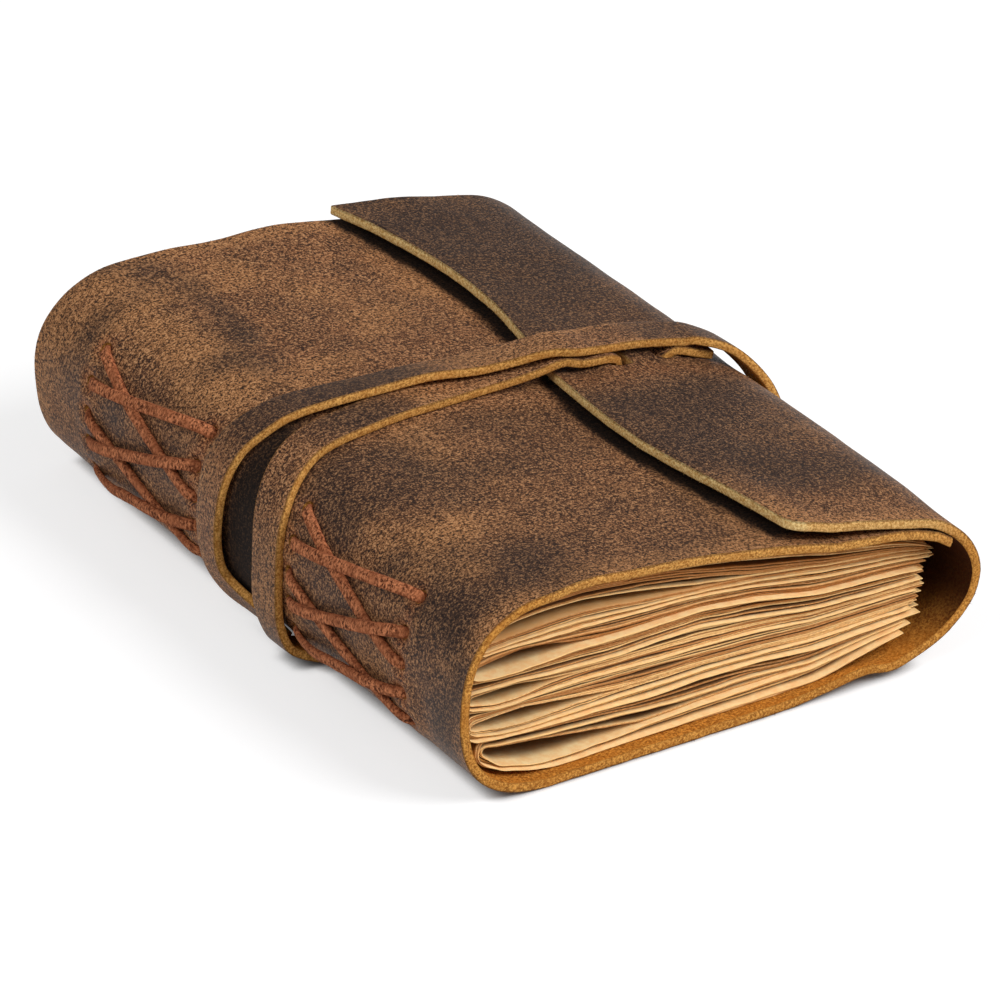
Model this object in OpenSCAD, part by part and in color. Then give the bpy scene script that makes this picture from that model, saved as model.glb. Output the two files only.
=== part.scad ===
/* [Pages] */
// Length of a leaf from tail to head
leaf_l = 168; // [120:1:240]
// Width of a leaf from its fold to the fore edge
leaf_w = 115.5; // [90:0.5:160]
// Most that one packet of leaves stands out past the next at an end
deckle = 1.2; // [0.2:0.1:2]
// Leaves that one packet of the fore edge steps back from the next
fore_step = 1.6; // [0.2:0.1:3]

/* [Cover] */
// Thickness of the leather
leather_t = 2.2; // [1.6:0.1:3]
// Thickness of the closed journal at the spine
body_h = 45.2; // [40:0.2:56]
// Leather that stands past the leaves at tail and head
overhang = 5; // [2:0.5:10]
// Depth of the rounded spine
spine_depth = 23.5; // [18:0.5:30]
// How far the front cover sinks from the spine to its fore edge
front_drop = 15.8; // [13:0.2:17]
// Space between the leaves and the leather round the fore edge
fore_gap = 8.9; // [7:0.1:14]
// Height of the widest point of the leather round the fore edge
fore_h = 19.5; // [17:0.5:22]
// Reach of the flap over the front cover, at the middle of its wave
flap_reach = 50.8; // [45:0.2:56]
// Half the height of the wave in the flap's free edge
flap_wave = 5; // [0:0.5:6]
// Radius of the flap's corner at the tail
flap_corner = 4.5; // [2:0.5:12]

/* [Lacing] */
// Height of the lowest row of lace holes
row_low = 10.5; // [9:0.1:12]
// Distance from the top of the journal down to the highest row
row_high = 6.3; // [5.5:0.1:8]
// Distance between the two columns of one lacing
column_gap = 45.7; // [30:0.1:60]
// Distance from the tail to the first column, and from the head to the last
column_inset = 23.4; // [15:0.1:28]
// Diameter of a lace hole
hole_d = 3.4; // [3.2:0.1:4]
// Width of the lace
lace_w = 2.6; // [2:0.1:3]
// Thickness of the lace
lace_t = 1.3; // [1:0.1:1.6]

/* [Strap] */
// Width of the strap
strap_w = 10.4; // [8:0.2:12]
// Thickness of the strap
strap_t = 2; // [1.4:0.1:2.2]
// Distance from the tail to the middle of the strap where it is sewn through the flap
strap_y = 89.5; // [80:0.5:98]

/* [Hidden] */

// Small gaps between pieces that touch on the real journal
fit = 0.15;
page_fit = 0.3;

// Lengths and places that follow from the driving sizes, and how much further
// the strap reaches past the spine than past the fore edge
cover_l = leaf_l + 2 * overhang;
spine_power = 2.5;
fold_gap = 0.9;
front_gap = 6.5;
fold_x = leather_t + fold_gap;
leaf_x = fold_x + leaf_w;
body_w = leaf_x + fore_gap + leather_t;
front_end = body_w - leather_t - front_gap;
front_w = front_end - spine_depth;
wrap_x = body_w - 34;
spine_stand = 1.5;
shift = [-(body_w - spine_stand) / 2, -cover_l / 2, 0];

// Rows of the lacing and folds of the signatures, both counted from the lowest
signatures = 5;
row_pitch = (body_h - row_low - row_high) / (signatures - 1);
fold_low = row_low - 0.7;
fold_high = row_high + 3.9;
fold_pitch = (body_h - fold_low - fold_high) / (signatures - 1);
function row_z(k) = row_low + k * row_pitch;
function fold_z(k) = fold_low + k * fold_pitch;

// Plane and space helpers
function mix(a, b, t) = a + (b - a) * t;
function ease(t) = let (c = min(1, max(0, t))) c * c * (3 - 2 * c);
function unit(v) = v / norm(v);
function power(v, p) = sign(v) * pow(abs(v), p);
function bezier(a, b, c, d, t) =
    a * pow(1 - t, 3) + 3 * b * t * pow(1 - t, 2) + 3 * c * t * t * (1 - t) + d * pow(t, 3);
function smooth(a, b, c, d, t) =
    0.5 * (2 * b + (c - a) * t + (2 * a - 5 * b + 4 * c - d) * t * t + (3 * b - a - 3 * c + d) * pow(t, 3));
function through(list, steps) = let (n = len(list)) concat(
    [for (i = [0 : n - 2], j = [0 : steps - 1])
        smooth(list[max(i - 1, 0)], list[i], list[i + 1], list[min(i + 2, n - 1)], j / steps)],
    [list[n - 1]]);

// Outer face of the cover, in x and z
function front_z(x) = body_h - front_drop * pow(max(0, x - spine_depth) / front_w, 2);
function spine_x(z, inset = 0) =
    let (half = body_h / 2, rise = min(1, abs(z - half) / (half - inset)))
    spine_depth - (spine_depth - inset) * pow(1 - pow(rise, spine_power), 1 / spine_power);
function spine_point(a) = [
    spine_depth - spine_depth * power(cos(a), 2 / spine_power),
    body_h / 2 + body_h / 2 * power(sin(a), 2 / spine_power)];
function wrap_point(a) = [wrap_x + (body_w - wrap_x) * cos(a), fore_h + fore_h * sin(a)];
shoulder = [body_w - 16.2, fore_h + 17.7];
flap_tip = [body_w - flap_reach - flap_wave - 1, body_h];
flap_run = [shoulder[0] - flap_tip[0], 0];
function turn_point(t) = bezier([body_w, fore_h], [body_w, fore_h + 8.5],
    shoulder + [8.5, -2.3], shoulder, t);
function flap_point(t) = bezier(shoulder, shoulder - flap_run / 3 + [0, 3.65], flap_tip + flap_run / 3 - [0, 1],
    flap_tip, t);

front_line = [for (i = [0 : 12]) let (x = mix(front_end, spine_depth, i / 12)) [x, front_z(x)]];
spine_line = [for (a = [84 : -6 : -84]) spine_point(a)];
wrap_line = [for (a = [-90 : 10 : -10]) wrap_point(a)];
turn_line = [for (i = [0 : 5]) turn_point(i / 6)];
flap_line = [for (i = [0 : 10]) flap_point(i / 10)];
cover_line = concat(front_line, spine_line, [[spine_depth, 0]], wrap_line, turn_line, flap_line);

// A line moved sideways to its left by a distance
function beside(line, d) = [for (i = [0 : len(line) - 1])
    let (t = unit(line[min(i + 1, len(line) - 1)] - line[max(i - 1, 0)])) line[i] + d * [-t[1], t[0]]];
function reversed(line) = [for (i = [len(line) - 1 : -1 : 0]) line[i]];

// An outline in x and z drawn out along y
module drawn_out(outline, from, to)
    translate([0, to, 0]) rotate([90, 0, 0]) linear_extrude(to - from) polygon(outline);

// Free edge of the flap in plan: one slow wave, fuller at both ends, with a round corner at the tail
wave_y = 60;
wave_l = 150;
end_reach = 1.3;
function flap_edge(y) =
    let (corner = max(0, flap_corner - y))
    body_w - flap_reach - flap_wave * cos(360 * (y - wave_y) / wave_l)
        - end_reach * pow(min(1, abs(2 * y / cover_l - 1)), 4)
        + flap_corner - sqrt(flap_corner * flap_corner - corner * corner);
module past_flap_edge() {
    left = flap_tip[0] - 4;
    past_tip = concat(flap_line, [flap_tip - [3, -0.2]]);
    intersection() {
        drawn_out(concat(beside(past_tip, -1), reversed(beside(past_tip, leather_t + 1))), -1, cover_l + 1);
        linear_extrude(2 * body_h)
            polygon(concat([for (i = [0 : 22]) let (y = cover_l * pow(i / 22, 1.5)) [flap_edge(y), y]],
                [[flap_edge(cover_l), cover_l + 2], [left, cover_l + 2], [left, -2], [flap_edge(0), -2]]));
    }
}

// Places of the strap along its route
slit_gap = 13;
slit_x = body_w - 37.2;
slit_w = 5.8;
slit_skew = 1.5;
under_from = [10, 73];
under_to = [body_w - 19, 78];
under_turn = atan2(under_to[1] - under_from[1], under_to[0] - under_from[0]);
channel_h = strap_t + fit;

module along_channel(side, from_z, to_z) {
    length = norm(under_to - under_from);
    translate([under_from[0], under_from[1], from_z]) rotate([0, 0, under_turn])
        translate([-2, -strap_w / 2 - side, 0])
            cube([length + 5, strap_w + 2 * side, to_z - from_z]);
}

// Holes for the lace, from outside the spine to inside each fold
function columns() = [column_inset, column_inset + column_gap,
    cover_l - column_inset - column_gap, cover_l - column_inset];
function fold_point(k) = [spine_x(fold_z(k), leather_t) + fold_gap, fold_z(k)];
function pocket_x(k) = fold_point(k)[0] + 1.5;
module lace_holes() {
    for (k = [0 : signatures - 1], y = columns()) {
        outside = [spine_x(row_z(k)), row_z(k)];
        inside = [pocket_x(k) + lace_t / 2, fold_z(k)];
        run = inside - outside;
        translate([outside[0], y, outside[1]]) rotate([0, 90 - atan2(run[1], run[0]), 0])
            translate([0, 0, -4]) cylinder(h = norm(run) + 4, d = hole_d, $fn = 24);
    }
}

module cover() {
    color("saddlebrown") translate(shift) difference() {
        union() {
            drawn_out(concat(cover_line, reversed(beside(cover_line, leather_t))), 0, cover_l);
            intersection() {
                along_channel(fit + leather_t, leather_t / 2, channel_h + leather_t);
                drawn_out(concat(spine_line, [[spine_depth, 0]], wrap_line), 0, cover_l);
            }
        }
        past_flap_edge();
        along_channel(fit, -1, channel_h);
        lace_holes();
        for (place = [[slit_x, -slit_skew], [slit_x + slit_gap, slit_skew]])
            translate([place[0] - slit_w / 2, strap_y + place[1] - strap_w / 2 - 2 * fit, fore_h + 12])
                cube([slit_w, strap_w + 4 * fit, body_h]);
    }
}

// Lower and upper face of the page block, in z over x
page_low = leather_t + page_fit;
page_top = body_h - leather_t - page_fit;
page_drop = front_drop + 1.8;
foot_x = leaf_x - 28;
foot_rise = 6.8;
function block_low(x) = page_low + foot_rise * pow(max(0, x - foot_x) / (leaf_x - foot_x), 2);
function block_top(x) = page_top - page_drop * pow(max(0, x - spine_depth) / front_w, 2);
function band_z(x, share) = mix(block_low(x), block_top(x), share);

// Faces of one signature: from a rounded fold they spread to an even share of the block
nose = 0.45 * fold_pitch;
spread_x = 32;
function face_z(k, side, x) =
    mix(fold_z(k) + side * nose, band_z(x, (k + 0.5 + side / 2) / signatures),
        ease((x - fold_point(k)[0] - nose) / (spread_x - fold_point(k)[0] - nose)));
function nose_line(k) = [for (a = [90 : 30 : 270])
    fold_point(k) + nose * [1 + cos(a), sin(a)]];
face_stations = concat([14, 17, 20, 24, 28], [for (i = [0 : 5]) mix(36, foot_x - 4, i / 5)],
    [foot_x + 6, foot_x + 14, leaf_x - 6]);
function face_line(k, side) = [for (x = face_stations) [x, face_z(k, side, x)]];
meet_x = 21;

// Fore edge with each packet of leaves stepped a little from the next
fore_line = [for (i = [0 : 9])
    let (share = (i + 0.5) / 10, x = leaf_x - fore_step * (0.5 + 0.5 * cos(150 * i + 40 * share)))
    for (s = [0, 1]) let (edge = (i + s) / 10) [x, band_z(x, edge)]];

function notch(k) = [[meet_x, mix(face_z(k, 1, meet_x), face_z(k + 1, -1, meet_x), 0.5)]];
function block_outline() = concat(
    reversed(face_line(signatures - 1, 1)),
    [for (k = [signatures - 1 : -1 : 0]) for (p = concat(nose_line(k), k > 0 ? notch(k - 1) : [])) p],
    face_line(0, -1),
    fore_line);

// Mouth of a signature: a pocket for the lace at the fold, then a long thin lens
mouth_h = lace_w + 0.6;
mouth_open = [4.6, 3, 3.6, 3.2, 3];
mouth_end = [74, 46, 66, 52, 70];
mouth_share = [0.36, 0.5, 0.55, 0.5, 0.6];
function mouth_z(k, x) =
    mix(fold_z(k), band_z(x, (k + mouth_share[k]) / signatures),
        ease((x - pocket_x(k) - 3) / (spread_x - pocket_x(k))));
function mouth_half(k, x) =
    let (t = (x - pocket_x(k) - 3) / (mouth_end[k] - pocket_x(k) - 3))
    mix(mouth_h, mouth_open[k], ease(t * 4)) / 2 * sqrt(max(0, 1 - t * t)) + 0.05;
function mouth_outline(k) =
    let (xs = [for (i = [0 : 8]) mix(pocket_x(k) + 3, mouth_end[k], i / 8)])
    concat([[pocket_x(k), fold_z(k) + mouth_h / 2]],
        [for (x = xs) [x, mouth_z(k, x) + mouth_half(k, x)]],
        [for (x = reversed(xs)) [x, mouth_z(k, x) - mouth_half(k, x)]],
        [[pocket_x(k), fold_z(k) - mouth_h / 2]]);

// Packets of leaves that stand out past the body of the block at both ends
packets = 4;
packet_skin = 0.12;
function packet_z(k, p, x) = mix(face_z(k, -1, x), face_z(k, 1, x), p / packets);
function packet_outline(k, p) =
    let (first = fold_point(k)[0] + 2 * nose,
        xs = [first, mix(first, spread_x, 0.4), mix(first, spread_x, 0.7), spread_x + 2,
            foot_x - 40, foot_x - 20, foot_x - 2, leaf_x - 14, leaf_x - 5 - fore_step])
    concat([for (x = xs) [x, packet_z(k, p, x) + packet_skin]],
        [for (x = reversed(xs)) [x, packet_z(k, p + 1, x) - packet_skin]]);

module text_block() {
    inner_l = leaf_l - 2 * deckle;
    color("wheat") translate(shift) difference() {
        union() {
            drawn_out(block_outline(), overhang + deckle, overhang + deckle + inner_l);
            for (k = [0 : signatures - 1], p = [0 : packets - 1]) {
                out = deckle * (0.5 + 0.5 * cos(137 * (k * packets + p)));
                if (out > 0.2)
                    drawn_out(packet_outline(k, p), overhang + deckle - out,
                        overhang + deckle + inner_l + out);
            }
        }
        for (k = [0 : signatures - 1])
            drawn_out(mouth_outline(k), -1, cover_l + 1);
        along_channel(fit + leather_t + page_fit, 0, channel_h + leather_t + page_fit);
        lace_holes();
    }
}

// A band swept along rings that each hold a centre, an outward normal and a roll
function cross_unit(a, b) = unit(cross(a, b));
function ring_corners(before, ring, after, w, t) =
    let (
        along = unit(after[0] - before[0]),
        across = cross_unit(along, ring[1]),
        out = cross_unit(across, along),
        c = cos(ring[2]), s = sin(ring[2]),
        side = across * c + out * s,
        face = out * c - across * s)
    [ring[0] - side * w / 2 - face * t / 2, ring[0] + side * w / 2 - face * t / 2,
     ring[0] + side * w / 2 + face * t / 2, ring[0] - side * w / 2 + face * t / 2];
function on_or_over_table(corners) =
    let (low = min([for (p = corners) p[2]])) [for (p = corners) p + [0, 0, max(0, -low)]];

module swept_band(rings, w, t, closed = false) {
    n = len(rings);
    points = [for (i = [0 : n - 1])
        let (before = closed ? rings[(i + n - 1) % n] : rings[max(i - 1, 0)],
            after = closed ? rings[(i + 1) % n] : rings[min(i + 1, n - 1)])
        for (p = on_or_over_table(ring_corners(before, rings[i], after, w, t))) p];
    sides = [for (i = [0 : closed ? n - 1 : n - 2], j = [0 : 3])
        let (a = i * 4 + j, b = i * 4 + (j + 1) % 4, c = ((i + 1) % n) * 4 + (j + 1) % 4,
            d = ((i + 1) % n) * 4 + j)
        for (f = [[a, b, c], [a, c, d]]) f];
    ends = closed ? [] : [[0, 3, 2], [0, 2, 1], [4 * n - 4, 4 * n - 3, 4 * n - 2],
        [4 * n - 4, 4 * n - 2, 4 * n - 1]];
    polyhedron(points = points, faces = concat(sides, ends), convexity = 8);
}

// A place on the outer face of the cover, its outward normal, and a ring above it
function normal_of(before, after) = let (t = unit(after - before)) [t[1], -t[0]];
function on_front(x) = [[x, front_z(x)], normal_of([x + 1, front_z(x + 1)], [x - 1, front_z(x - 1)])];
function on_spine(a) = [spine_point(a), normal_of(spine_point(a + 4), spine_point(a - 4))];
function on_wrap(a) = [wrap_point(a), normal_of(wrap_point(a - 4), wrap_point(a + 4))];
function on_turn(t) = [turn_point(t), normal_of(turn_point(t - 0.05), turn_point(t + 0.05))];
function on_flap(t) = [flap_point(t), normal_of(flap_point(t - 0.05), flap_point(t + 0.05))];
function on_table(x) = [[x, 0], [0, -1]];
function above(place, y, lift, roll = 0) =
    let (p = place[0] + place[1] * lift) [[p[0], y, p[1]], [place[1][0], 0, place[1][1]], roll];
function parts_of(rings, j) = [for (r = rings) r[j]];
function smooth_rings(rings, steps) =
    let (p = through(parts_of(rings, 0), steps), q = through(parts_of(rings, 1), steps),
        r = through(parts_of(rings, 2), steps))
    [for (i = [0 : len(p) - 1]) [p[i], q[i], r[i]]];

// Route of the strap: loose end, two slits, twice round the journal, end tucked under
function flap_at(x) = on_flap((shoulder[0] - x) / flap_run[0]);
function under_y(x) = mix(under_from[1], under_to[1], (x - under_from[0]) / (under_to[0] - under_from[0]));
function under(x) = above(on_table(x), under_y(x), -strap_t / 2);
lie = strap_t / 2 + fit;
stack = lie + strap_t + fit;
below = -leather_t - lie - 0.1;
dip = 1.15;
slit_2 = slit_x + slit_gap;
flap_over = slit_x - 10.5;
under_stations = [for (i = [0 : 5]) mix(under_from[0] + 4, under_to[0] - 3.7, i / 5)];
strap_route = [
    above(on_turn(0.82), strap_y + 1, lie),
    above(on_turn(0.97), strap_y + 1.3, lie),
    above(flap_at(slit_2 + 3.6), strap_y + slit_skew, lie + 0.1),
    above(flap_at(slit_2 + 1), strap_y + slit_skew, lie - dip),
    above(flap_at(slit_2 - 1), strap_y + slit_skew, below + dip),
    above(flap_at(slit_2 - 3.6), strap_y + 1.2, below),
    above(flap_at(slit_x + 3.6), strap_y - 1.2, below),
    above(flap_at(slit_x + 1), strap_y - slit_skew, below + dip),
    above(flap_at(slit_x - 1), strap_y - slit_skew, lie - dip),
    above(flap_at(slit_x - 3.6), strap_y - 1.9, lie + 0.2),
    above(flap_at(flap_over), strap_y - 2.6, lie + 1.1),
    above(on_front(flap_over - 5), strap_y - 2.2, lie + 5.2),
    above(on_front(71), strap_y - 1.4, lie + 3),
    above(on_front(64), strap_y - 0.8, lie + 1.2),
    above(on_front(57), strap_y - 0.6, lie + 0.2),
    above(on_front(50), strap_y - 1.6, lie),
    above(on_front(36), strap_y - 3.5, lie),
    above(on_front(24), strap_y - 5.5, lie),
    above(on_spine(77), strap_y - 6.7, lie + 0.05),
    above(on_spine(62), strap_y - 7.9, lie),
    above(on_spine(42), strap_y - 10.5, lie),
    above(on_spine(20), strap_y - 12.9, lie),
    above(on_spine(0), strap_y - 13.8, lie),
    above(on_spine(-18), strap_y - 14.1, lie + 1),
    above(on_spine(-34), strap_y - 15.5, stack),
    above(on_spine(-43), strap_y - 16.1, stack - 0.5),
    above([[9, 1.4], unit([-0.3, -1])], under_y(9), 0),
    for (x = under_stations) under(x),
    above(on_wrap(-62), under_to[1], lie),
    above(on_wrap(-45), under_to[1] + 0.6, lie),
    above(on_wrap(-28), under_to[1] + 1.3, lie),
    above(on_wrap(-12), under_to[1] + 2.2, lie),
    above(on_wrap(2), strap_y - 8, lie + 0.2),
    above(on_turn(0.35), strap_y - 5.9, lie + 1),
    above(on_turn(0.7), strap_y - 2.9, stack - 0.1, -5),
    above(on_turn(0.95), strap_y, stack + 0.4, -4),
    above(flap_at(slit_2 + 5), strap_y + 1.3, stack + 0.2),
    above(flap_at(slit_2), strap_y + 1.5, stack),
    above(flap_at(slit_x + 4), strap_y + 0.7, stack + 0.2),
    above(flap_at(slit_x - 5), strap_y - 0.9, stack + 0.5),
    above(flap_at(flap_over - 1), strap_y - 2.6, stack + 1.3),
    above(on_front(flap_over - 7), strap_y - 1.5, stack + 5.1, -2),
    above(on_front(68), strap_y + 0.9, stack + 2.6, -5),
    above(on_front(59), strap_y + 2.8, stack + 0.6, -8),
    above(on_front(48), strap_y + 4.6, stack - 0.1, -13),
    above(on_front(37), strap_y + 5.6, stack - 0.9, -12),
    above(on_front(25), strap_y + 6.3, stack - 1.2, -9),
    above(on_spine(77), strap_y + 7, stack - 1.3, -7),
    above(on_spine(64), strap_y + 7.5, stack - 1.4, -6),
    above(on_spine(44), strap_y + 9.1, lie + 0.6, -5),
    above(on_spine(22), strap_y + 9.4, lie + 0.6, -6),
    above(on_spine(0), strap_y + 9.3, lie + 0.8, -8),
    above(on_spine(-15), strap_y + 8.9, lie + 0.7, -6),
    above(on_spine(-27), strap_y + 6.7, lie + 0.5),
    above(on_spine(-34), strap_y + 1.5, lie + 0.1),
    above(on_spine(-37), strap_y - 5.5, lie),
    above(on_spine(-38), strap_y - 10.6, lie)];

module strap() {
    color("sienna") translate(shift) swept_band(smooth_rings(strap_route, 2), strap_w, strap_t);
}

// Lace: slanting runs outside the spine, straight runs inside the folds, in one closed loop
function through_loop(list, steps) = let (n = len(list))
    [for (i = [0 : n - 1], j = [0 : steps - 1])
        smooth(list[(i + n - 1) % n], list[i], list[(i + 1) % n], list[(i + 2) % n], j / steps)];
function loop_rings(rings, steps) =
    let (p = through_loop(parts_of(rings, 0), steps), q = through_loop(parts_of(rings, 1), steps))
    [for (i = [0 : len(p) - 1]) [p[i], q[i], 0]];
function on_back(z) = [[spine_x(z), z], normal_of([spine_x(z + 0.5), z + 0.5], [spine_x(z - 0.5), z - 0.5])];
lace_lie = lace_t / 2 + fit;
lace_over = lace_t + fit;
lace_bend = 2;
function hole_ring(k, y, share, facing) =
    let (p = mix([spine_x(row_z(k)), row_z(k)], [pocket_x(k) + lace_lie, fold_z(k)], share))
    [[p[0], y, p[1]], [0, facing, 0], 0];
function outside_run(from, to, over, left, right) =
    [for (t = [0, 0.22, 0.4, 0.6, 0.78, 1])
        above(on_back(mix(row_z(from), row_z(to), mix(lace_bend / column_gap, 1 - lace_bend / column_gap, t))),
            mix(left - lace_bend, right + lace_bend, t), lace_lie + over * (t > 0 && t < 1 ? lace_over : 0))];
function inside_run(k, left, right) =
    let (x = pocket_x(k) + lace_lie)
    [for (y = [right + lace_bend, left - lace_bend]) [[x, y, fold_z(k)], [1, 0, 0], 0]];
lace_runs = [[3, 4, 1], [4, 2, 0], [2, 0, 0], [0, 1, 1], [1, 3, 1]];
function lace_route(left, right) = [for (run = lace_runs)
    for (ring = concat(
        outside_run(run[0], run[1], run[2], left, right),
        [hole_ring(run[1], right, 0.3, -1), hole_ring(run[1], right, 0.75, -1)],
        inside_run(run[1], left, right),
        [hole_ring(run[1], left, 0.75, 1), hole_ring(run[1], left, 0.3, 1)])) ring];
module lace(left, right) {
    color("chocolate") translate(shift)
        swept_band(loop_rings(lace_route(left, right), 2), lace_w, lace_t, closed = true);
}
module lace_tail() {
    lace(column_inset + column_gap, column_inset);
}
module lace_head() {
    lace(cover_l - column_inset, cover_l - column_inset - column_gap);
}

cover();
text_block();
strap();
lace_head();
lace_tail();
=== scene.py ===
import bpy
import numpy as np
from mathutils import Matrix


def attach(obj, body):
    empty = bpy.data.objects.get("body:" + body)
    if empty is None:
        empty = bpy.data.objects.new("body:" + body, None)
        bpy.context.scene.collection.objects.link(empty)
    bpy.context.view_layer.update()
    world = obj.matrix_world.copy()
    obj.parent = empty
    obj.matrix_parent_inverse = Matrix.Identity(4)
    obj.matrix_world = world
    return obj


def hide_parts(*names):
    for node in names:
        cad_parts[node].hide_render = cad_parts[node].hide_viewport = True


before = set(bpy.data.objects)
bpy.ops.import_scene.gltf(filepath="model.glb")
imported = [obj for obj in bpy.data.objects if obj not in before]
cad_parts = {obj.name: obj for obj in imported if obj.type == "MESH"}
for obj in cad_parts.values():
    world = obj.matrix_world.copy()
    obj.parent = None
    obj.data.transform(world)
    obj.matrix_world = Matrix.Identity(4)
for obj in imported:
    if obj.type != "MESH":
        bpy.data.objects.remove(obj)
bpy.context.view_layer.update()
print("frame loaded")

# Shapes are worked out in millimetres from the tail end of the spine's back, and put into the row frame last
toRow = np.array([-64.1, -89.0, 0.0])

camera = dict(eye=(-0.8188, -1.3072, 0.8519), azimuth=-32.1, elevation=28.5, lens=290.8, sensor=36.0)


def makeCamera(c):
    a, e = np.radians(c["azimuth"]), np.radians(c["elevation"])
    back = np.array([np.sin(a) * np.cos(e), -np.cos(a) * np.cos(e), np.sin(e)])
    right = np.array([np.cos(a), np.sin(a), 0.0])
    up = np.cross(back, right)
    data = bpy.data.cameras.new("camera")
    data.lens, data.sensor_width = c["lens"], c["sensor"]
    data.clip_start, data.clip_end = 0.05, 20
    made = bpy.data.objects.new("camera", data)
    bpy.context.scene.collection.objects.link(made)
    turned = np.eye(4)
    turned[:3, 0], turned[:3, 1], turned[:3, 2], turned[:3, 3] = right, up, back, c["eye"]
    made.matrix_world = Matrix(turned.tolist())
    bpy.context.scene.camera = made


makeCamera(camera)
print("camera placed")


def noise(u, v, seed):
    # values from -1 to 1 drawn on a unit lattice and blended with a fifth-power step
    lattice = np.random.default_rng(seed).uniform(-1, 1, (128, 128))
    u, v = np.broadcast_arrays(np.asarray(u, float), np.asarray(v, float))
    i, j = np.floor(u).astype(int), np.floor(v).astype(int)
    p, q = u - i, v - j
    p, q = p ** 3 * (p * (p * 6 - 15) + 10), q ** 3 * (q * (q * 6 - 15) + 10)
    a, b = lattice[i % 128, j % 128], lattice[(i + 1) % 128, j % 128]
    c, d = lattice[i % 128, (j + 1) % 128], lattice[(i + 1) % 128, (j + 1) % 128]
    return (a * (1 - p) + b * p) * (1 - q) + (c * (1 - p) + d * p) * q


def step(low, high, x):
    t = np.clip((x - low) / (high - low), 0, 1)
    return t * t * (3 - 2 * t)


def mix(a, b, t):
    return a + (b - a) * t


def unit(v):
    return v / np.maximum(np.linalg.norm(v, axis=-1, keepdims=True), 1e-9)


def bezier(a, b, c, d, t):
    a, b, c, d = (np.array(p) for p in (a, b, c, d))
    t = t[:, None]
    return a * (1 - t) ** 3 + 3 * b * t * (1 - t) ** 2 + 3 * c * t * t * (1 - t) + d * t ** 3


cover = dict(
    length=178.0, thick=2.2, height=45.2, spineDepth=23.5, spinePower=2.5, frontEnd=122.3, frontWide=97.5,
    frontDrop=15.8, wrapX=95.7, foreX=129.7, foreZ=19.5, flapMiddle=78.9, flapWave=5.0, waveY=60.0,
    waveLength=150.0, endReach=1.3, flapCorner=4.5, holeRadius=1.6, slits=((92.5, 88.0), (105.5, 91.0)),
    slitWide=5.6, slitLong=10.9,
    # how far the front cover's tail end rises at these places from the spine
    tailPlaces=(23, 33, 43, 60, 85, 93, 98, 104, 109, 114, 119, 122),
    tailRise=(0.6, 1.2, 0.4, 0, 0, -0.3, 0.3, 1.0, 1.6, 1.8, 1.3, 0.2))


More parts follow.
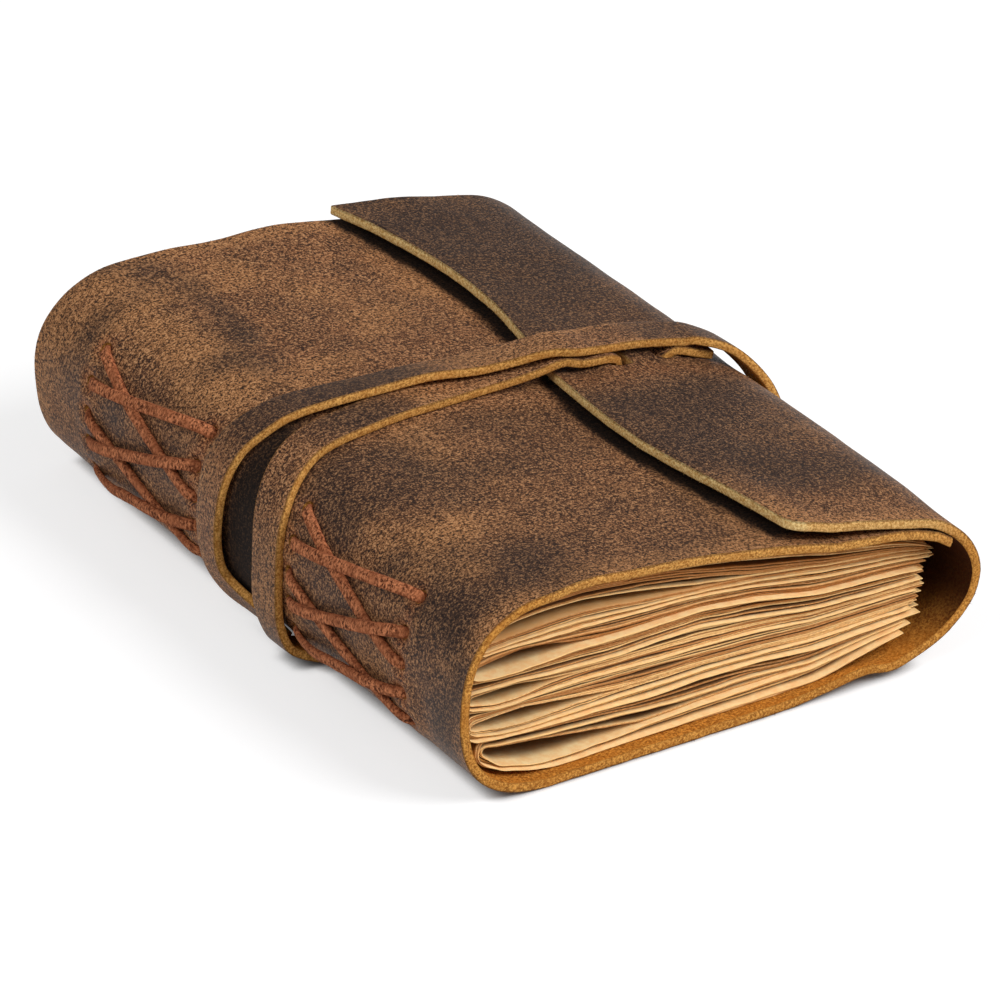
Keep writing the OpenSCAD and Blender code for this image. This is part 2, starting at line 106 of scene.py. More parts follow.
class Outline:
    # the cover's outer face as one line in x and z with its length s: front cover, spine, back cover,
    # turn round the fore edge and flap, one after the other
    def __init__(self, c):
        half, depth = c["height"] / 2, c["spineDepth"]
        x = np.linspace(c["frontEnd"], depth, 400)
        front = np.stack([x, c["height"] - c["frontDrop"] * ((x - depth) / c["frontWide"]) ** 2], 1)
        self.angle = np.linspace(90, -90, 1441)
        co, si = np.cos(np.radians(self.angle)), np.sin(np.radians(self.angle))
        bend = 2 / c["spinePower"]
        across, rise = np.abs(co) ** bend, np.sign(si) * np.abs(si) ** bend
        spine = np.stack([depth - depth * across, half + half * rise], 1)
        table = np.stack([np.linspace(depth, c["wrapX"], 200), np.zeros(200)], 1)
        w = np.radians(np.linspace(-90, 0, 300))
        wrap = np.stack([c["wrapX"] + (c["foreX"] - c["wrapX"]) * np.cos(w), c["foreZ"] * (1 + np.sin(w))], 1)
        fore = np.array([c["foreX"], c["foreZ"]])
        shoulder = np.array([c["foreX"] - 16.2, c["foreZ"] + 17.7])
        tip = np.array([c["flapMiddle"] - c["flapWave"] - 1, c["height"]])
        run = np.array([shoulder[0] - tip[0], 0])
        t = np.linspace(0, 1, 300)
        turn = bezier(fore, fore + [0, 8.5], shoulder + [8.5, -2.3], shoulder, t)
        flap = bezier(shoulder, shoulder - run / 3 + [0, 3.65], tip + run / 3 - [0, 1], tip, t)
        past = tip + np.linspace(0.02, 1, 20)[:, None] * [-6, 0.45]
        parts = [front, spine, table, wrap, turn, flap, past]
        line = np.concatenate(parts)
        self.s = np.concatenate([[0], np.cumsum(np.linalg.norm(np.diff(line, axis=0), axis=1))])
        ends = np.cumsum([len(p) for p in parts])
        self.line = line
        names = ("front", "spine", "table", "wrap", "turn", "flap")
        self.part = {n: slice(a, b) for n, a, b in zip(names, np.concatenate([[0], ends]), ends)}
        self.end = {n: self.s[self.part[n].stop - 1] for n in names}
        even = np.arange(0, self.s[-1], 0.25)
        x, z = np.interp(even, self.s, line[:, 0]), np.interp(even, self.s, line[:, 1])
        soft = np.hanning(9) / np.hanning(9).sum()
        tx = np.convolve(np.pad(np.gradient(x), 4, "edge"), soft, "valid")
        tz = np.convolve(np.pad(np.gradient(z), 4, "edge"), soft, "valid")
        self.even, self.normal = even, unit(np.stack([tz, -tx], 1))

    def at(self, s):
        return np.stack([np.interp(s, self.s, self.line[:, 0]), np.interp(s, self.s, self.line[:, 1])], -1)

    def normalAt(self, s):
        return unit(np.stack([np.interp(s, self.even, self.normal[:, k]) for k in (0, 1)], -1))

    # places by x, height or the angle and share of the curve that they lie on
    def onFront(self, x):
        p = self.part["front"]
        return np.interp(-np.asarray(x, float), -self.line[p, 0], self.s[p])

    def onSpine(self, angle):
        return np.interp(-np.asarray(angle, float), -self.angle, self.s[self.part["spine"]])

    def onBack(self, z):
        p = self.part["spine"]
        return np.interp(-np.asarray(z, float), -self.line[p, 1], self.s[p])

    def onWrap(self, angle):
        return np.interp(angle, np.linspace(-90, 0, 300), self.s[self.part["wrap"]])

    def onTurn(self, share):
        return np.interp(share, np.linspace(0, 1, 300), self.s[self.part["turn"]])

    def onFlap(self, x):
        p = slice(self.part["flap"].start, len(self.s))
        return np.interp(-np.asarray(x, float), -self.line[p, 0], self.s[p])


outline = Outline(cover)

# each run goes from one row to another, and over the lace below it where its last number is 1
lacing = dict(
    rowLow=10.5, rowPitch=7.1, columns=(23.4, 69.1, 108.9, 154.6), wide=2.6, thick=1.3, fit=0.15, bend=2.0,
    pocket=1.5, runs=((3, 4, 1), (4, 2, 0), (2, 0, 0), (0, 1, 1), (1, 3, 1)))
rows = [lacing["rowLow"] + lacing["rowPitch"] * k for k in range(5)]
holes = [(outline.onBack(z), y) for y in lacing["columns"] for z in rows]


def flapEdge(y):
    # x of the flap's free edge: one slow wave, a round corner at the tail and a slightly uneven cut
    r = cover["flapCorner"]
    corner = np.clip(r - y, 0, r)
    wave = cover["flapWave"] * np.cos(2 * np.pi * (y - cover["waveY"]) / cover["waveLength"])
    wave = wave + cover["endReach"] * np.clip(np.abs(2 * y / cover["length"] - 1), 0, 1) ** 4
    rough = 0.3 * noise(y / 11, 0.5, 21) + 0.12 * noise(y / 2.6, 0.5, 22)
    return cover["flapMiddle"] - wave + r - np.sqrt(r * r - corner * corner) + rough


strap = dict(
    wide=10.4, thick=2.0, fit=0.15, dip=1.15, atY=89.5, slitSkew=1.5,
    underFrom=(10.0, 73.0), underTo=(110.7, 78.0))


def underY(x):
    (x0, y0), (x1, y1) = strap["underFrom"], strap["underTo"]
    return y0 + (y1 - y0) * (x - x0) / (x1 - x0)


def overStrap(x, y):
    # 1 over the strap where it runs under the book, falling to 0 beside it
    (x0, y0), (x1, y1) = strap["underFrom"], strap["underTo"]
    turn = np.arctan2(y1 - y0, x1 - x0)
    off = np.abs(y - underY(x)) * np.cos(turn)
    return 1 - step(strap["wide"] / 2 + 0.4, strap["wide"] / 2 + 3.4, off)


def frontLift(x, y):
    # the front cover's tail end rises by the spine and again towards its fore edge, its head end by the flap
    tail = np.interp(x, cover["tailPlaces"], cover["tailRise"])
    head = 1.2 * np.exp(-((x - 67) / 16) ** 2)
    return tail * np.exp(-(y / 20.0) ** 2) + head * np.exp(-((cover["length"] - y) / 16.0) ** 2)


def flapLift(s, x, y):
    # the flap sags at its tail end, bulges round its shoulder, sinks beside the strap and rises where the
    # strap runs under it
    sag = -0.8 * np.exp(-(y / 15.0) ** 2) * step(84, 93, x) * (1 - 0.4 * step(112, 120, x))
    bulge = 0.8 * step(8, 22, y) * np.exp(-((s - outline.end["turn"]) / 15) ** 2)
    bulge = bulge * (1 - 1.7 * np.exp(-((y - 88) / 12) ** 2))
    sink = -0.9 * np.exp(-((x - 79) / 8) ** 2 - ((y - 89) / 12) ** 2)
    rise = 1.1 * np.exp(-((x - 99) / 5.5) ** 2 - ((y - 90) / 6.5) ** 2)
    return sag + bulge + sink + rise


def relief(s, y):
    # how far the leather stands off its even form along its normal: slow swells, edges that wave, puckered
    # holes and raised slits
    x = outline.at(s)[..., 0]
    e, length = outline.end, cover["length"]
    table = step(e["spine"] - 16, e["spine"] - 4, s) * (1 - step(e["table"] + 10, e["table"] + 24, s))
    under = step(e["spine"] - 6, e["spine"] - 1, s) * (1 - step(e["table"] + 6, e["table"] + 14, s))
    out = (0.24 + 0.22 * noise(s / 26, y / 29, 3) + 0.1 * noise(s / 9, y / 8, 4)) * (1 - table)
    nearEnd = np.exp(-(y / 5) ** 2) + np.exp(-((length - y) / 5) ** 2)
    out = out + 0.35 * noise(s / 13, y / 60, 5) * nearEnd * (1 - table)
    onFront = 1 - step(e["front"] - 4, e["front"] + 2, s)
    out = out + frontLift(x, y) * onFront
    onFlap = step(e["turn"] - 26, e["turn"] - 12, s)
    out = out + flapLift(s, x, y) * onFlap
    tailWave = 2.1 * step(72, 92, x) * np.exp(-((x - 101) / 13) ** 2) + 0.35 * np.abs(noise(x / 9, 0.5, 6))
    headWave = 0.9 * np.exp(-((x - 60) / 15) ** 2) + 0.4 * np.abs(noise(x / 10, 0.5, 7))
    lift = tailWave * np.exp(-(y / 4.2) ** 2) + headWave * np.exp(-((length - y) / 4.2) ** 2)
    out = out - lift * under
    out = out - (strap["thick"] + 0.18) * overStrap(x, y) * under * step(4, 9, x) * (1 - step(112, 117, x))
    for hs, hy in holes:
        d = np.hypot(s - hs, y - hy)
        out = out - 0.55 * np.exp(-(d / 2.3) ** 2) + 0.3 * np.exp(-((d - 3.6) / 1.5) ** 2)
    for sx, sy in cover["slits"]:
        off = np.abs(s - outline.onFlap(sx)) - cover["slitWide"] / 2
        side = step(cover["slitLong"] / 2 + 3, cover["slitLong"] / 2 - 1, np.abs(y - sy))
        out = out + 0.45 * np.exp(-(off / 2.4) ** 2) * side
    return out


def coverPoint(s, y, depth=0.0):
    # a place on the leather, a depth below its outer face
    p, n = outline.at(s), outline.normalAt(s)
    p = p + n * (relief(s, y) - depth)[..., None]
    low = np.where(np.asarray(depth) > 0, depth, 0.0)
    return np.stack([p[..., 0], y + 0 * s, np.maximum(p[..., 1], low)], -1)


def makePiece(name, points, faces, materials, which=None, attributes=None, node=None):
    # faces has one row of corners a face, which gives each face's material, and attributes hold one number a
    # point; nothing reaches under the table
    mesh = bpy.data.meshes.new(name)
    points = np.maximum(points, [-np.inf, -np.inf, 0.0])
    mesh.vertices.add(len(points))
    mesh.vertices.foreach_set("co", ((points + toRow) / 1000).astype(np.float32).ravel())
    mesh.loops.add(faces.size)
    mesh.loops.foreach_set("vertex_index", faces.astype(np.int32).ravel())
    mesh.polygons.add(len(faces))
    mesh.polygons.foreach_set("loop_start", np.arange(0, faces.size, faces.shape[1], dtype=np.int32))
    mesh.update(calc_edges=True)
    mesh.validate()
    mesh.polygons.foreach_set("use_smooth", np.ones(len(mesh.polygons), bool))
    for m in materials:
        mesh.materials.append(m)
    if which is not None:
        mesh.polygons.foreach_set("material_index", which.astype(np.int32))
    for key, values in (attributes or {}).items():
        layer = mesh.attributes.new(key, "FLOAT", "POINT")
        layer.data.foreach_set("value", values.astype(np.float32))
    made = bpy.data.objects.new(name, mesh)
    bpy.context.scene.collection.objects.link(made)
    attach(made, "root")
    if node:
        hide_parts(node)
    return made


def rimLevels(outer, inner, edges, normals, shares, bulge, rough, seed):
    # a wall from the outer to the inner face along open edges, rounded and uneven as a raw cut is
    used, back = np.unique(edges, return_inverse=True)
    back = back.reshape(edges.shape)
    along = outer[edges[:, 1]] - outer[edges[:, 0]]
    away = np.cross(along, normals[edges[:, 0]])
    out = np.zeros((len(used), 3))
    for k in (0, 1):
        np.add.at(out, back[:, k], away)
    out = unit(out)
    draw = np.random.default_rng(seed)
    levels = []
    for t in shares:
        push = bulge * (1 - abs(2 * t - 1) ** 2.5) + rough * draw.uniform(-1, 1, len(used))
        levels.append(mix(outer[used], inner[used], t) + out * push[:, None])
    return used, back, levels, out


def nap(base, outward, length, thick, seed):
    # loose fibres: three-sided spikes that lean out of a raw edge
    draw = np.random.default_rng(seed)
    n = len(base)
    lean = unit(outward + 0.85 * draw.normal(0, 1, (n, 3)))
    lean = unit(lean + 0.6 * outward)
    side = unit(np.cross(lean, draw.normal(0, 1, (n, 3))))
    third = np.cross(lean, side)
    size = (thick * draw.uniform(0.6, 1.3, n))[:, None]
    reach = (length * draw.uniform(0.35, 1.25, n))[:, None]
    start = base - lean * size
    ring = [start + size * (side * np.cos(a) + third * np.sin(a)) for a in (0, 2.094, 4.189)]
    points = np.stack([*ring, base + lean * reach], 1).reshape(-1, 3)
    k = np.arange(n)[:, None] * 4
    faces = np.concatenate([k + [0, 1, 3], k + [1, 2, 3], k + [2, 0, 3], k + [0, 2, 1]])
    return points, faces


def tone(r, g, b):
    c = np.array([r, g, b]) / 255
    c = np.where(c <= 0.04045, c / 12.92, ((c + 0.055) / 1.055) ** 2.4)
    return (*c.tolist(), 1.0)


class Wire:
    # a shader socket that takes part in sums
    def __init__(self, finish, socket):
        self.finish, self.socket = finish, socket

    def maths(self, operation, *values):
        return self.finish.node("ShaderNodeMath", {"operation": operation}, values)

    def __add__(self, other):
        return self.maths("ADD", self, other)

    def __sub__(self, other):
        return self.maths("SUBTRACT", self, other)

    def __rsub__(self, other):
        return self.maths("SUBTRACT", other, self)

    def __mul__(self, other):
        return self.maths("MULTIPLY", self, other)

    __radd__ = __add__
    __rmul__ = __mul__


class Finish:
    # one material's nodes
    def __init__(self, name, **fixed):
        self.material = bpy.data.materials.new(name)
        self.material.use_nodes = True
        self.tree = self.material.node_tree
        self.surface = self.tree.nodes["Principled BSDF"]
        for key, value in fixed.items():
            self.surface.inputs[key.replace("_", " ")].default_value = value

    def node(self, kind, settings, values, out=0):
        made = self.tree.nodes.new(kind)
        for key, value in settings.items():
            setattr(made, key, value)
        pairs = values.items() if isinstance(values, dict) else enumerate(values)
        for place, value in pairs:
            if isinstance(value, Wire):
                self.tree.links.new(value.socket, made.inputs[place])
            elif value is not None:
                made.inputs[place].default_value = value
        return Wire(self, made.outputs[out])

    def place(self):
        return self.node("ShaderNodeTexCoord", {}, {}, "Object")

    def attribute(self, name):
        return self.node("ShaderNodeAttribute", {"attribute_name": name}, {}, 2)

    def stretch(self, vector, scale):
        return self.node("ShaderNodeMapping", {}, {"Vector": vector, "Scale": scale})

    def cloud(self, vector, sizeMm, detail=3.0, roughness=0.55, distortion=0.0):
        values = {"Vector": vector, "Scale": 1000 / sizeMm, "Detail": detail}
        values.update({"Roughness": roughness, "Distortion": distortion})
        return self.node("ShaderNodeTexNoise", {}, values)

    def between(self, value, low, high, toLow=0.0, toHigh=1.0):
        soft = {"interpolation_type": "SMOOTHSTEP"}
        return self.node("ShaderNodeMapRange", soft, [value, low, high, toLow, toHigh])

    def blend(self, share, a, b, mode="MIX"):
        made = self.tree.nodes.new("ShaderNodeMix")
        made.data_type, made.blend_type = "RGBA", mode
        for place, value in ((0, share), (6, a), (7, b)):
            if isinstance(value, Wire):
                self.tree.links.new(value.socket, made.inputs[place])
            else:
                made.inputs[place].default_value = value
        return Wire(self, made.outputs[2])

    def bump(self, height, strength, distanceMm, under=None):
        values = {"Strength": strength, "Distance": distanceMm / 1000, "Height": height}
        if under is not None:
            values["Normal"] = under
        return self.node("ShaderNodeBump", {}, values)

    def done(self, **links):
        for key, wire in links.items():
            self.tree.links.new(wire.socket, self.surface.inputs[key.replace("_", " ")])
        return self.material


def leatherGrain(name, seedShift=0.0):
    # waxed, worn brown leather: dark smudges, tan rub marks, a fine two-tone speckle and rust by the lacing,
    # and painted shade, near black, under the flap's free edge and between the strap's passes on the spine
    f = Finish(name, Roughness=0.62, Specular_IOR_Level=0.22)
    here = f.node("ShaderNodeMapping", {}, {"Vector": f.place(), "Location": (seedShift, 0, 0)})
    slow = f.cloud(here, 34, 4, 0.6, 0.4)
    mid = f.cloud(here, 8, 5, 0.65, 0.3)
    streak = f.cloud(f.stretch(here, (1.0, 0.3, 1.0)), 7, 4, 0.6, 0.5)
    fine = f.cloud(here, 0.75, 3, 0.7)
    speck = f.cloud(here, 0.42, 2, 0.65)
    dark, red, worn, paintedShade = (f.attribute(n) for n in ("dark", "rust", "worn", "paintedShade"))
    base = f.blend(f.between(mid * 0.5 + streak * 0.5, 0.38, 0.62), tone(98, 63, 42), tone(143, 95, 61))
    base = f.blend(f.between(slow + worn * 0.35, 0.5, 0.78) * 0.75, base, tone(174, 120, 74))
    base = f.blend(f.between(red + (mid - 0.5) * 0.5, 0.08, 0.85) * 0.8, base, tone(154, 90, 52))
    darker = f.between(dark + (mid - 0.5) * 0.35 + (streak - 0.5) * 0.9, 0.0, 1.0)
    base = f.blend(darker * 0.92, base, tone(60, 42, 34))
    grit = speck * 0.5 + fine * 0.5
    base = f.blend(f.between(grit, 0.5, 0.62) * (0.84 - dark * 0.5), base, tone(208, 156, 108))
    base = f.blend(f.between(grit, 0.53, 0.42) * 0.94, base, tone(32, 20, 15))
    # painted shade: near black on the front cover beside the flap's free edge and on the spine between the
    # strap's two passes, where those gaps lie in shadow
    base = f.blend(paintedShade, base, tone(9, 5, 4))
    rough = f.between(dark + mid * 0.5, 0.1, 1.0, 0.68, 0.54) + paintedShade * 0.4
    normal = f.bump(grit, 0.6, 0.16, f.bump(mid, 0.35, 0.8))
    return f.done(Base_Color=base, Roughness=rough, Normal=normal)


def cutEdge(name):
    # the raw cut: fuzzy ochre fibre, paler on the flap, partly its own paler cut and partly painted light
    # where the flap's free edge faces away from the key light, with the dark grain layer as a thin broken
    # line
    f = Finish(name, Roughness=0.9, Specular_IOR_Level=0.12)
    here = f.place()
    skin, paleAndLit = f.attribute("skin"), f.attribute("paleAndLit")
    fibre = f.cloud(here, 0.5, 4, 0.7)
    patch = f.cloud(here, 5, 4, 0.6)
    base = f.blend(f.between(fibre, 0.36, 0.66), tone(146, 90, 34), tone(232, 168, 82))
    base = f.blend(f.between(patch, 0.4, 0.7) * 0.5, base, tone(184, 116, 42))
    light = f.blend(f.between(fibre, 0.36, 0.64), tone(206, 158, 88), tone(255, 228, 162))
    # the pale tone, near white, is partly the flap edge's own paler cut and partly painted light for an edge
    # that faces away from the key light
    base = f.blend(paleAndLit, base, light)
    grainLine = f.between(skin + (fibre - 0.5) * 0.3 + (patch - 0.5) * 0.2, 0.24, 0.06)
    base = f.blend(grainLine * 0.6, base, tone(66, 42, 30))
    base = f.blend(f.between(skin, 0.84, 1.0) * 0.5, base, tone(120, 72, 24))
    return f.done(Base_Color=base, Normal=f.bump(fibre, 0.8, 0.35))


def suede(name):
    # flesh side of the leather: deep ochre with a short nap, and painted shade, near-black brown, inside the
    # turn round the fore edge
    f = Finish(name, Roughness=0.95, Specular_IOR_Level=0.1)
    here = f.place()
    fibre = f.cloud(here, 0.6, 4, 0.7)
    patch = f.cloud(here, 7, 4, 0.6)
    base = f.blend(f.between(fibre, 0.34, 0.68), tone(132, 74, 20), tone(222, 152, 64))
    base = f.blend(f.between(patch, 0.4, 0.68) * 0.45, base, tone(186, 112, 34))
    # painted shade: the flesh side goes near-black brown inside the turn round the fore edge, where little
    # light gets in
    base = f.blend(f.attribute("paintedWrapShade") * 0.95, base, tone(46, 16, 6))
    return f.done(Base_Color=base, Normal=f.bump(fibre, 0.8, 0.4))


def laceSuede(name):
    # rust-brown suede lace with dark cross fibres and edges
    f = Finish(name, Roughness=0.92, Specular_IOR_Level=0.12)
    here = f.place()
    skin = f.attribute("skin")
    across = f.cloud(f.stretch(here, (1.0, 1.0, 0.6)), 0.6, 4, 0.7)
    patch = f.cloud(here, 3.6, 4, 0.65)
    base = f.blend(f.between(across, 0.38, 0.62), tone(82, 40, 24), tone(214, 136, 92))
    base = f.blend(f.between(patch, 0.42, 0.64) * 0.6, base, tone(152, 88, 56))
    streak = f.between(across * 0.6 + patch * 0.4, 0.46, 0.37)
    base = f.blend(streak * 0.6, base, tone(60, 29, 18))
    base = f.blend(f.between(skin, 0.3, 0.62) * 0.3, base, tone(120, 58, 32))
    return f.done(Base_Color=base, Normal=f.bump(across, 0.6, 0.25))


def paperFinish(name):
    # rough cotton paper: cream, each leaf a little different and those that stand out paler as painted light,
    # browner on its torn ends, and painted shade, dark brown, on leaf faces in the shadowed gaps between
    # leaves and deep in the open middles
    f = Finish(name, Roughness=0.85, Specular_IOR_Level=0.15)
    here = f.place()
    tintAndLight, edge, inside = (f.attribute(n) for n in ("tintAndLight", "edge", "inside"))
    pulp = f.cloud(here, 2.4, 4, 0.6)
    fibre = f.cloud(f.stretch(here, (1, 1, 3)), 0.8, 3, 0.65)
    base = f.blend(f.between(pulp, 0.3, 0.7), tone(250, 206, 144), tone(255, 228, 172))
    # the tint varies at random from leaf to leaf, but leaves that stand out are given a low tint so that they
    # show paler: painted light for the light their faces catch
    base = f.blend(f.between(tintAndLight, 0.3, 1.0) * 0.6, base, tone(236, 176, 104))
    stain = f.between(edge + (fibre - 0.5) * 0.9, 0.4, 1.0)
    end = f.blend(f.between(tintAndLight + (fibre - 0.5) * 1.2, 0.2, 0.9), tone(252, 206, 136), tone(186, 118, 58))
    base = f.blend(stain * 0.85, base, end)
    # painted shade: dark brown on leaf faces in the gaps between leaves and deep inside the open middles
    base = f.blend(inside, base, tone(96, 48, 22))
    return f.done(Base_Color=base, Normal=f.bump(pulp + fibre, 0.35, 0.15))


grainCover = leatherGrain("waxedLeather")
grainStrap = leatherGrain("waxedStrapLeather", 0.37)
rawEdge = cutEdge("rawLeatherEdge")
fleshSide = suede("leatherFleshSide")
laceFinish = laceSuede("rustSuedeLace")
paper = paperFinish("cottonPaper")
print("materials made")


def spread(*sections):
    # stations along a length: each section is (from, to, step), kept even inside itself
    made = []
    for start, stop, gap in sections:
        count = max(1, int(round((stop - start) / gap)))
        made.append(np.linspace(start, stop, count, endpoint=False))
    return np.concatenate([*made, [sections[-1][1]]])


# darker places on the leather: x or height, y, reach along, reach across, strength; all are dark smudges
# except the spine's place at height 22 by y 88, which is painted shade between the strap's two passes
smudgesAndShade = dict(
    front=((29, 157, 6, 10, 0.55), (30, 145, 5, 9, 0.5), (27, 133, 5, 9, 0.6), (23, 119, 7, 8, 0.65),
           (21, 172, 8, 8, 0.5), (26, 64, 8, 15, 0.5), (42, 52, 12, 9, 0.25), (24, 12, 9, 12, 0.45),
           (70, 28, 9, 14, 0.2), (52, 74, 22, 5, 0.35), (96, 60, 6, 60, 0.3)),
    spine=((41, 66, 8, 15, 0.55), (40, 20, 7, 14, 0.55), (22, 88, 22, 7, 0.9), (24, 46, 12, 16, 0.35),
           (24, 4, 16, 11, 0.75), (24, 132, 12, 16, 0.35), (41, 160, 8, 8, 0.3), (14, 100, 14, 8, 0.4)),
    flap=((98, 150, 12, 18, 0.35), (94, 118, 9, 9, 0.2), (90, 44, 9, 18, 0.25), (112, 132, 9, 12, 0.15)))


def softSpots(s, y, places, along):
    # sum of soft spots along the leather
    out = np.zeros(np.shape(s))
    for at, aty, reach, width, strength in places:
        out = out + strength * np.exp(-((s - along(at)) / reach) ** 2 - ((y - aty) / width) ** 2)
    return out


def grainLooks(s, y):
    # attributes of the leather: dark smudges (one of them painted shade between the strap's passes), rust by
    # holes and slits, wear towards bends, pale raw edges that are partly painted light on the flap's free
    # edge, painted shade, near black, under the flap's edge and between the strap's passes, and painted shade
    # on the flesh side inside the turn round the fore edge
    e, length = outline.end, cover["length"]
    onFront = 1 - step(e["front"] - 2, e["front"] + 6, s)
    onSpine = step(e["front"] - 2, e["front"] + 6, s) * (1 - step(e["spine"] - 12, e["spine"] - 3, s))
    onFlap = step(e["turn"] - 34, e["turn"] - 4, s)
    nearStrap = np.exp(-((y - 78) / 7) ** 2)
    dark = softSpots(s, y, smudgesAndShade["front"], outline.onFront) + softSpots(s, y, smudgesAndShade["spine"], outline.onBack)
    dark = dark + softSpots(s, y, smudgesAndShade["flap"], outline.onFlap)
    dark = dark + onFlap * step(0, 30, y) * (0.76 + 0.08 * step(100, 140, y)) * (1 - 0.4 * nearStrap)
    dark = dark + onFront * 0.32 * (1 - step(66, 96, y)) + onSpine * 0.22
    dark = dark + (0.16 + 0.2 * onSpine) * noise(s / 12, y / 9, 11) + 0.14 * noise(s / 30, y / 20, 14)
    rust = np.zeros(np.shape(s))
    for hs, hy in holes:
        d = np.hypot(s - hs, y - hy)
        rust = np.maximum(rust, (1.0 + 0.25 * noise(s, y, 15)) * np.exp(-(d / 3.4) ** 2))
    for a, b in ((0, 1), (2, 3)):
        y0, y1 = lacing["columns"][a], lacing["columns"][b]
        inside = step(y0 - 6, y0 + 1, y) * (1 - step(y1 - 1, y1 + 6, y))
        band = step(holes[4][0] - 6, holes[4][0] + 1, s) * (1 - step(holes[0][0] - 1, holes[0][0] + 6, s))
        rust = np.maximum(rust, 0.12 * inside * band)
        column = np.exp(-((y - y0 + 0.4) / 2.1) ** 2)
        rust = np.maximum(rust, 0.8 * column * band)
    rust = np.maximum(rust, 0.36 * onFlap * nearStrap + 0.25 * onFront * step(92, 110, y))
    rust = np.maximum(rust, 0.5 * np.exp(-((s - outline.onFlap(99)) / 12) ** 2 - ((y - 80) / 5) ** 2))
    edge = np.minimum(y, length - y)
    worn = np.exp(-(edge / 6) ** 2) * 0.9 + 0.9 * np.exp(-((s - e["spine"] + 6) / 9) ** 2)
    top = np.exp(-((s - e["front"] - 8) / 9) ** 2)
    worn = worn + 0.7 * top * step(100, 120, y)
    worn = worn + 0.5 * step(0.0, 0.6, noise(s / 22, y / 18, 12)) * (1 - onFlap * 0.6)
    # the flap's free edge is paler: partly its own paler cut, partly painted light brightening an edge that
    # faces away from the key light
    free = np.exp(-((outline.onFlap(flapEdge(y)) - s) / 1.2) ** 2)
    paleAndLit = np.maximum(0.9 * free, 0.4 * step(e["turn"] - 20, e["turn"], s))
    paleAndLit = np.maximum(paleAndLit, 0.1 * onFront)
    x = outline.at(s)[..., 0]
    edgeX = flapEdge(y)
    # painted shade: a near-black band on the front cover just outside the flap's free edge, where the gap
    # under the flap is in shadow
    paintedShade = 0.92 * onFront * step(edgeX - 3.4, edgeX - 1.6, x) * step(1, 6, y)
    # painted shade on the spine between the strap's two passes, where the gap between them is in shadow
    gap = np.exp(-np.abs((y - 87.3) / 6.9) ** 8) * step(e["front"] + 2, e["front"] + 12, s)
    paintedShade = np.maximum(paintedShade, 0.82 * onSpine * gap)
    # painted shade for the flesh side inside the turn round the fore edge, where little light gets in
    turn = step(e["wrap"] - 30, e["wrap"] - 4, s) * (1 - step(e["turn"] + 6, e["turn"] + 16, s))
    kept = {"dark": dark, "rust": rust, "worn": worn}
    clipped = {key: np.clip(values, 0, 1) for key, values in kept.items()}
    return {**clipped, "paleAndLit": paleAndLit, "paintedShade": paintedShade, "paintedWrapShade": turn}


